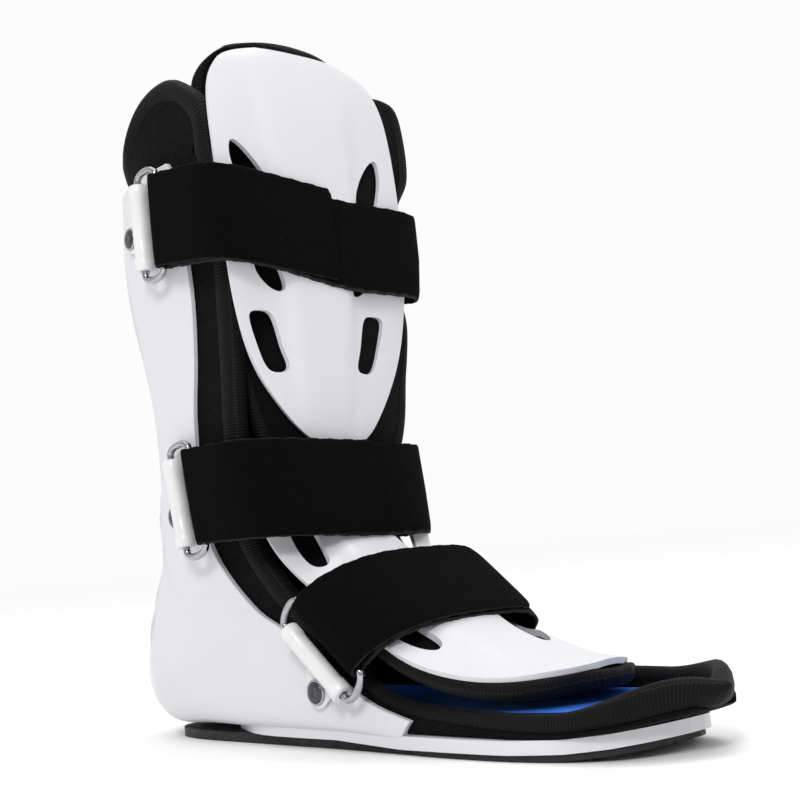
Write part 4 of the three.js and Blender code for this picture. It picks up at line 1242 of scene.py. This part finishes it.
# Profiles of a rivet's head and rim, in shares of its radius and rise
HEAD = [(0.86, 0.15), (0.84, 0.55), (0.72, 0.85), (0.45, 1), (0.02, 1.08)]
HEAD += [(r, 0) for r, _ in reversed(HEAD)]
RIM = [(0.82, 0), (1, 0), (1, 0.35), (0.93, 0.55), (0.82, 0.45), (0.82, 0.1)]


def rivet(row, word, spot, face):
    node = f"rivet_{row.name}_{word}"
    side_way = face.cross(Vector((0, 0, 1))).normalized()
    up_way = face.cross(side_way)
    base = spot - face * RIVET_RISE / 2
    for part, look, profile in (("head", RIVET, HEAD), ("rim", CHROME, RIM)):
        sections = []
        for k in range(32):
            turn = k / 32 * tau
            way = side_way * cos(turn) + up_way * sin(turn)
            sections.append([base + way * r * RIVET_RADIUS + face * h * RIVET_RISE
                             for r, h in profile])
        piece = loft(f"{node}_{part}", sections, look, closed=True)
        stands_for(piece, node)


rear_shell()
outsole()
liner()
insole()
tongue()
front_shell("shin_shield", "shin_shell", SHIELD, SHIELD_HALF, shield_relief, VENTS, VENTS,
            vent_slide)
front_shell("instep_shield", "instep_shell", LIP, LIP_HALF, lip_relief, NEAR_SLOTS, FAR_SLOTS,
            lambda at: 0)
for row in STRAPS:
    strap(row)
    for word, side in (("near", -1), ("far", 1)):
        ring(row, word, side)
        spot, face = keeper(row, word, side)
        rivet(row, word, spot, face)


# Floor, light and camera

def studio():
    floor_mesh = bpy.data.meshes.new("floor")
    size = 12.0
    floor_mesh.from_pydata([(-size, -size, 0), (size, -size, 0), (size, size, 0),
                            (-size, size, 0)], [], [(0, 1, 2, 3)])
    pale = Look("floor_pale", Roughness=0.9)
    pale.colour((0.9, 0.9, 0.9), (0.93, 0.93, 0.93), pale.noise(400, 2))
    floor_mesh.materials.append(pale.material)
    floor = add("floor", floor_mesh)
    world = bpy.data.worlds.new("studio")
    world.use_nodes = True
    tree = world.node_tree
    sky = tree.nodes["Background"]
    # Brighter behind the boot than behind the camera, as with a lit backdrop.
    place = tree.nodes.new("ShaderNodeTexCoord")
    facing_back = tree.nodes.new("ShaderNodeVectorMath")
    facing_back.operation = "DOT_PRODUCT"
    facing_back.inputs[1].default_value = (0.68, 0.73, 0)
    fade = tree.nodes.new("ShaderNodeMapRange")
    fade.interpolation_type = "SMOOTHSTEP"
    for key, value in (("From Min", -0.35), ("From Max", 0.6), ("To Min", 0.55), ("To Max", 0.97)):
        fade.inputs[key].default_value = value
    tree.links.new(place.outputs["Generated"], facing_back.inputs[0])
    tree.links.new(facing_back.outputs["Value"], fade.inputs["Value"])
    tree.links.new(fade.outputs["Result"], sky.inputs["Strength"])
    sky.inputs["Color"].default_value = (1, 1, 1, 1)
    bpy.context.scene.world = world
    for name, place, aim, size, power in (
            ("key", (-1.5, -0.95, 1.35), (0, 0, 0.2), 0.5, 20),
            ("top", (0.5, -0.2, 1.9), (0, 0, 0.2), 0.7, 5)):
        lamp = bpy.data.lights.new(name, "AREA")
        lamp.shape = "SQUARE"
        lamp.size = size
        lamp.energy = power
        holder = add(name, lamp)
        holder.location = place
        holder.rotation_euler = (Vector(aim) - Vector(place)).to_track_quat("-Z", "Y").to_euler()
    overhead = bpy.data.lights.new("overhead", "SUN")
    overhead.energy = 1.0
    overhead.angle = radians(70)
    add("overhead", overhead)
    bpy.context.scene.view_settings.view_transform = "Standard"


def camera():
    """The photograph's view: azimuth, elevation, roll, distance, focal length in pixels and the
    pixel that the lens points at."""
    azimuth, elevation, roll = (radians(v) for v in (-43.1, -7.1, -5.0))
    target = Vector((0, -56.4, 169.2))
    distance = 674
    focal = 1397
    centre_x, centre_y = 346, 377
    picture = 800
    back = Vector((sin(azimuth) * cos(elevation),
                   -cos(azimuth) * cos(elevation), sin(elevation)))
    right = Vector((cos(azimuth), sin(azimuth), 0))
    up = back.cross(right)
    turned = right * cos(roll) + up * sin(roll)
    upright = up * cos(roll) - right * sin(roll)
    lens = bpy.data.cameras.new("camera")
    lens.sensor_width = 36
    lens.lens = focal / picture * lens.sensor_width
    lens.shift_x = (picture / 2 - centre_x) / picture
    lens.shift_y = (centre_y - picture / 2) / picture
    lens.clip_start = 0.01
    view = add("camera", lens)
    place = to_metres(target + back * distance)
    axes = Matrix((turned, upright, back)).transposed().to_4x4()
    view.matrix_world = Matrix.Translation(place) @ axes
    bpy.context.scene.camera = view


studio()
camera()
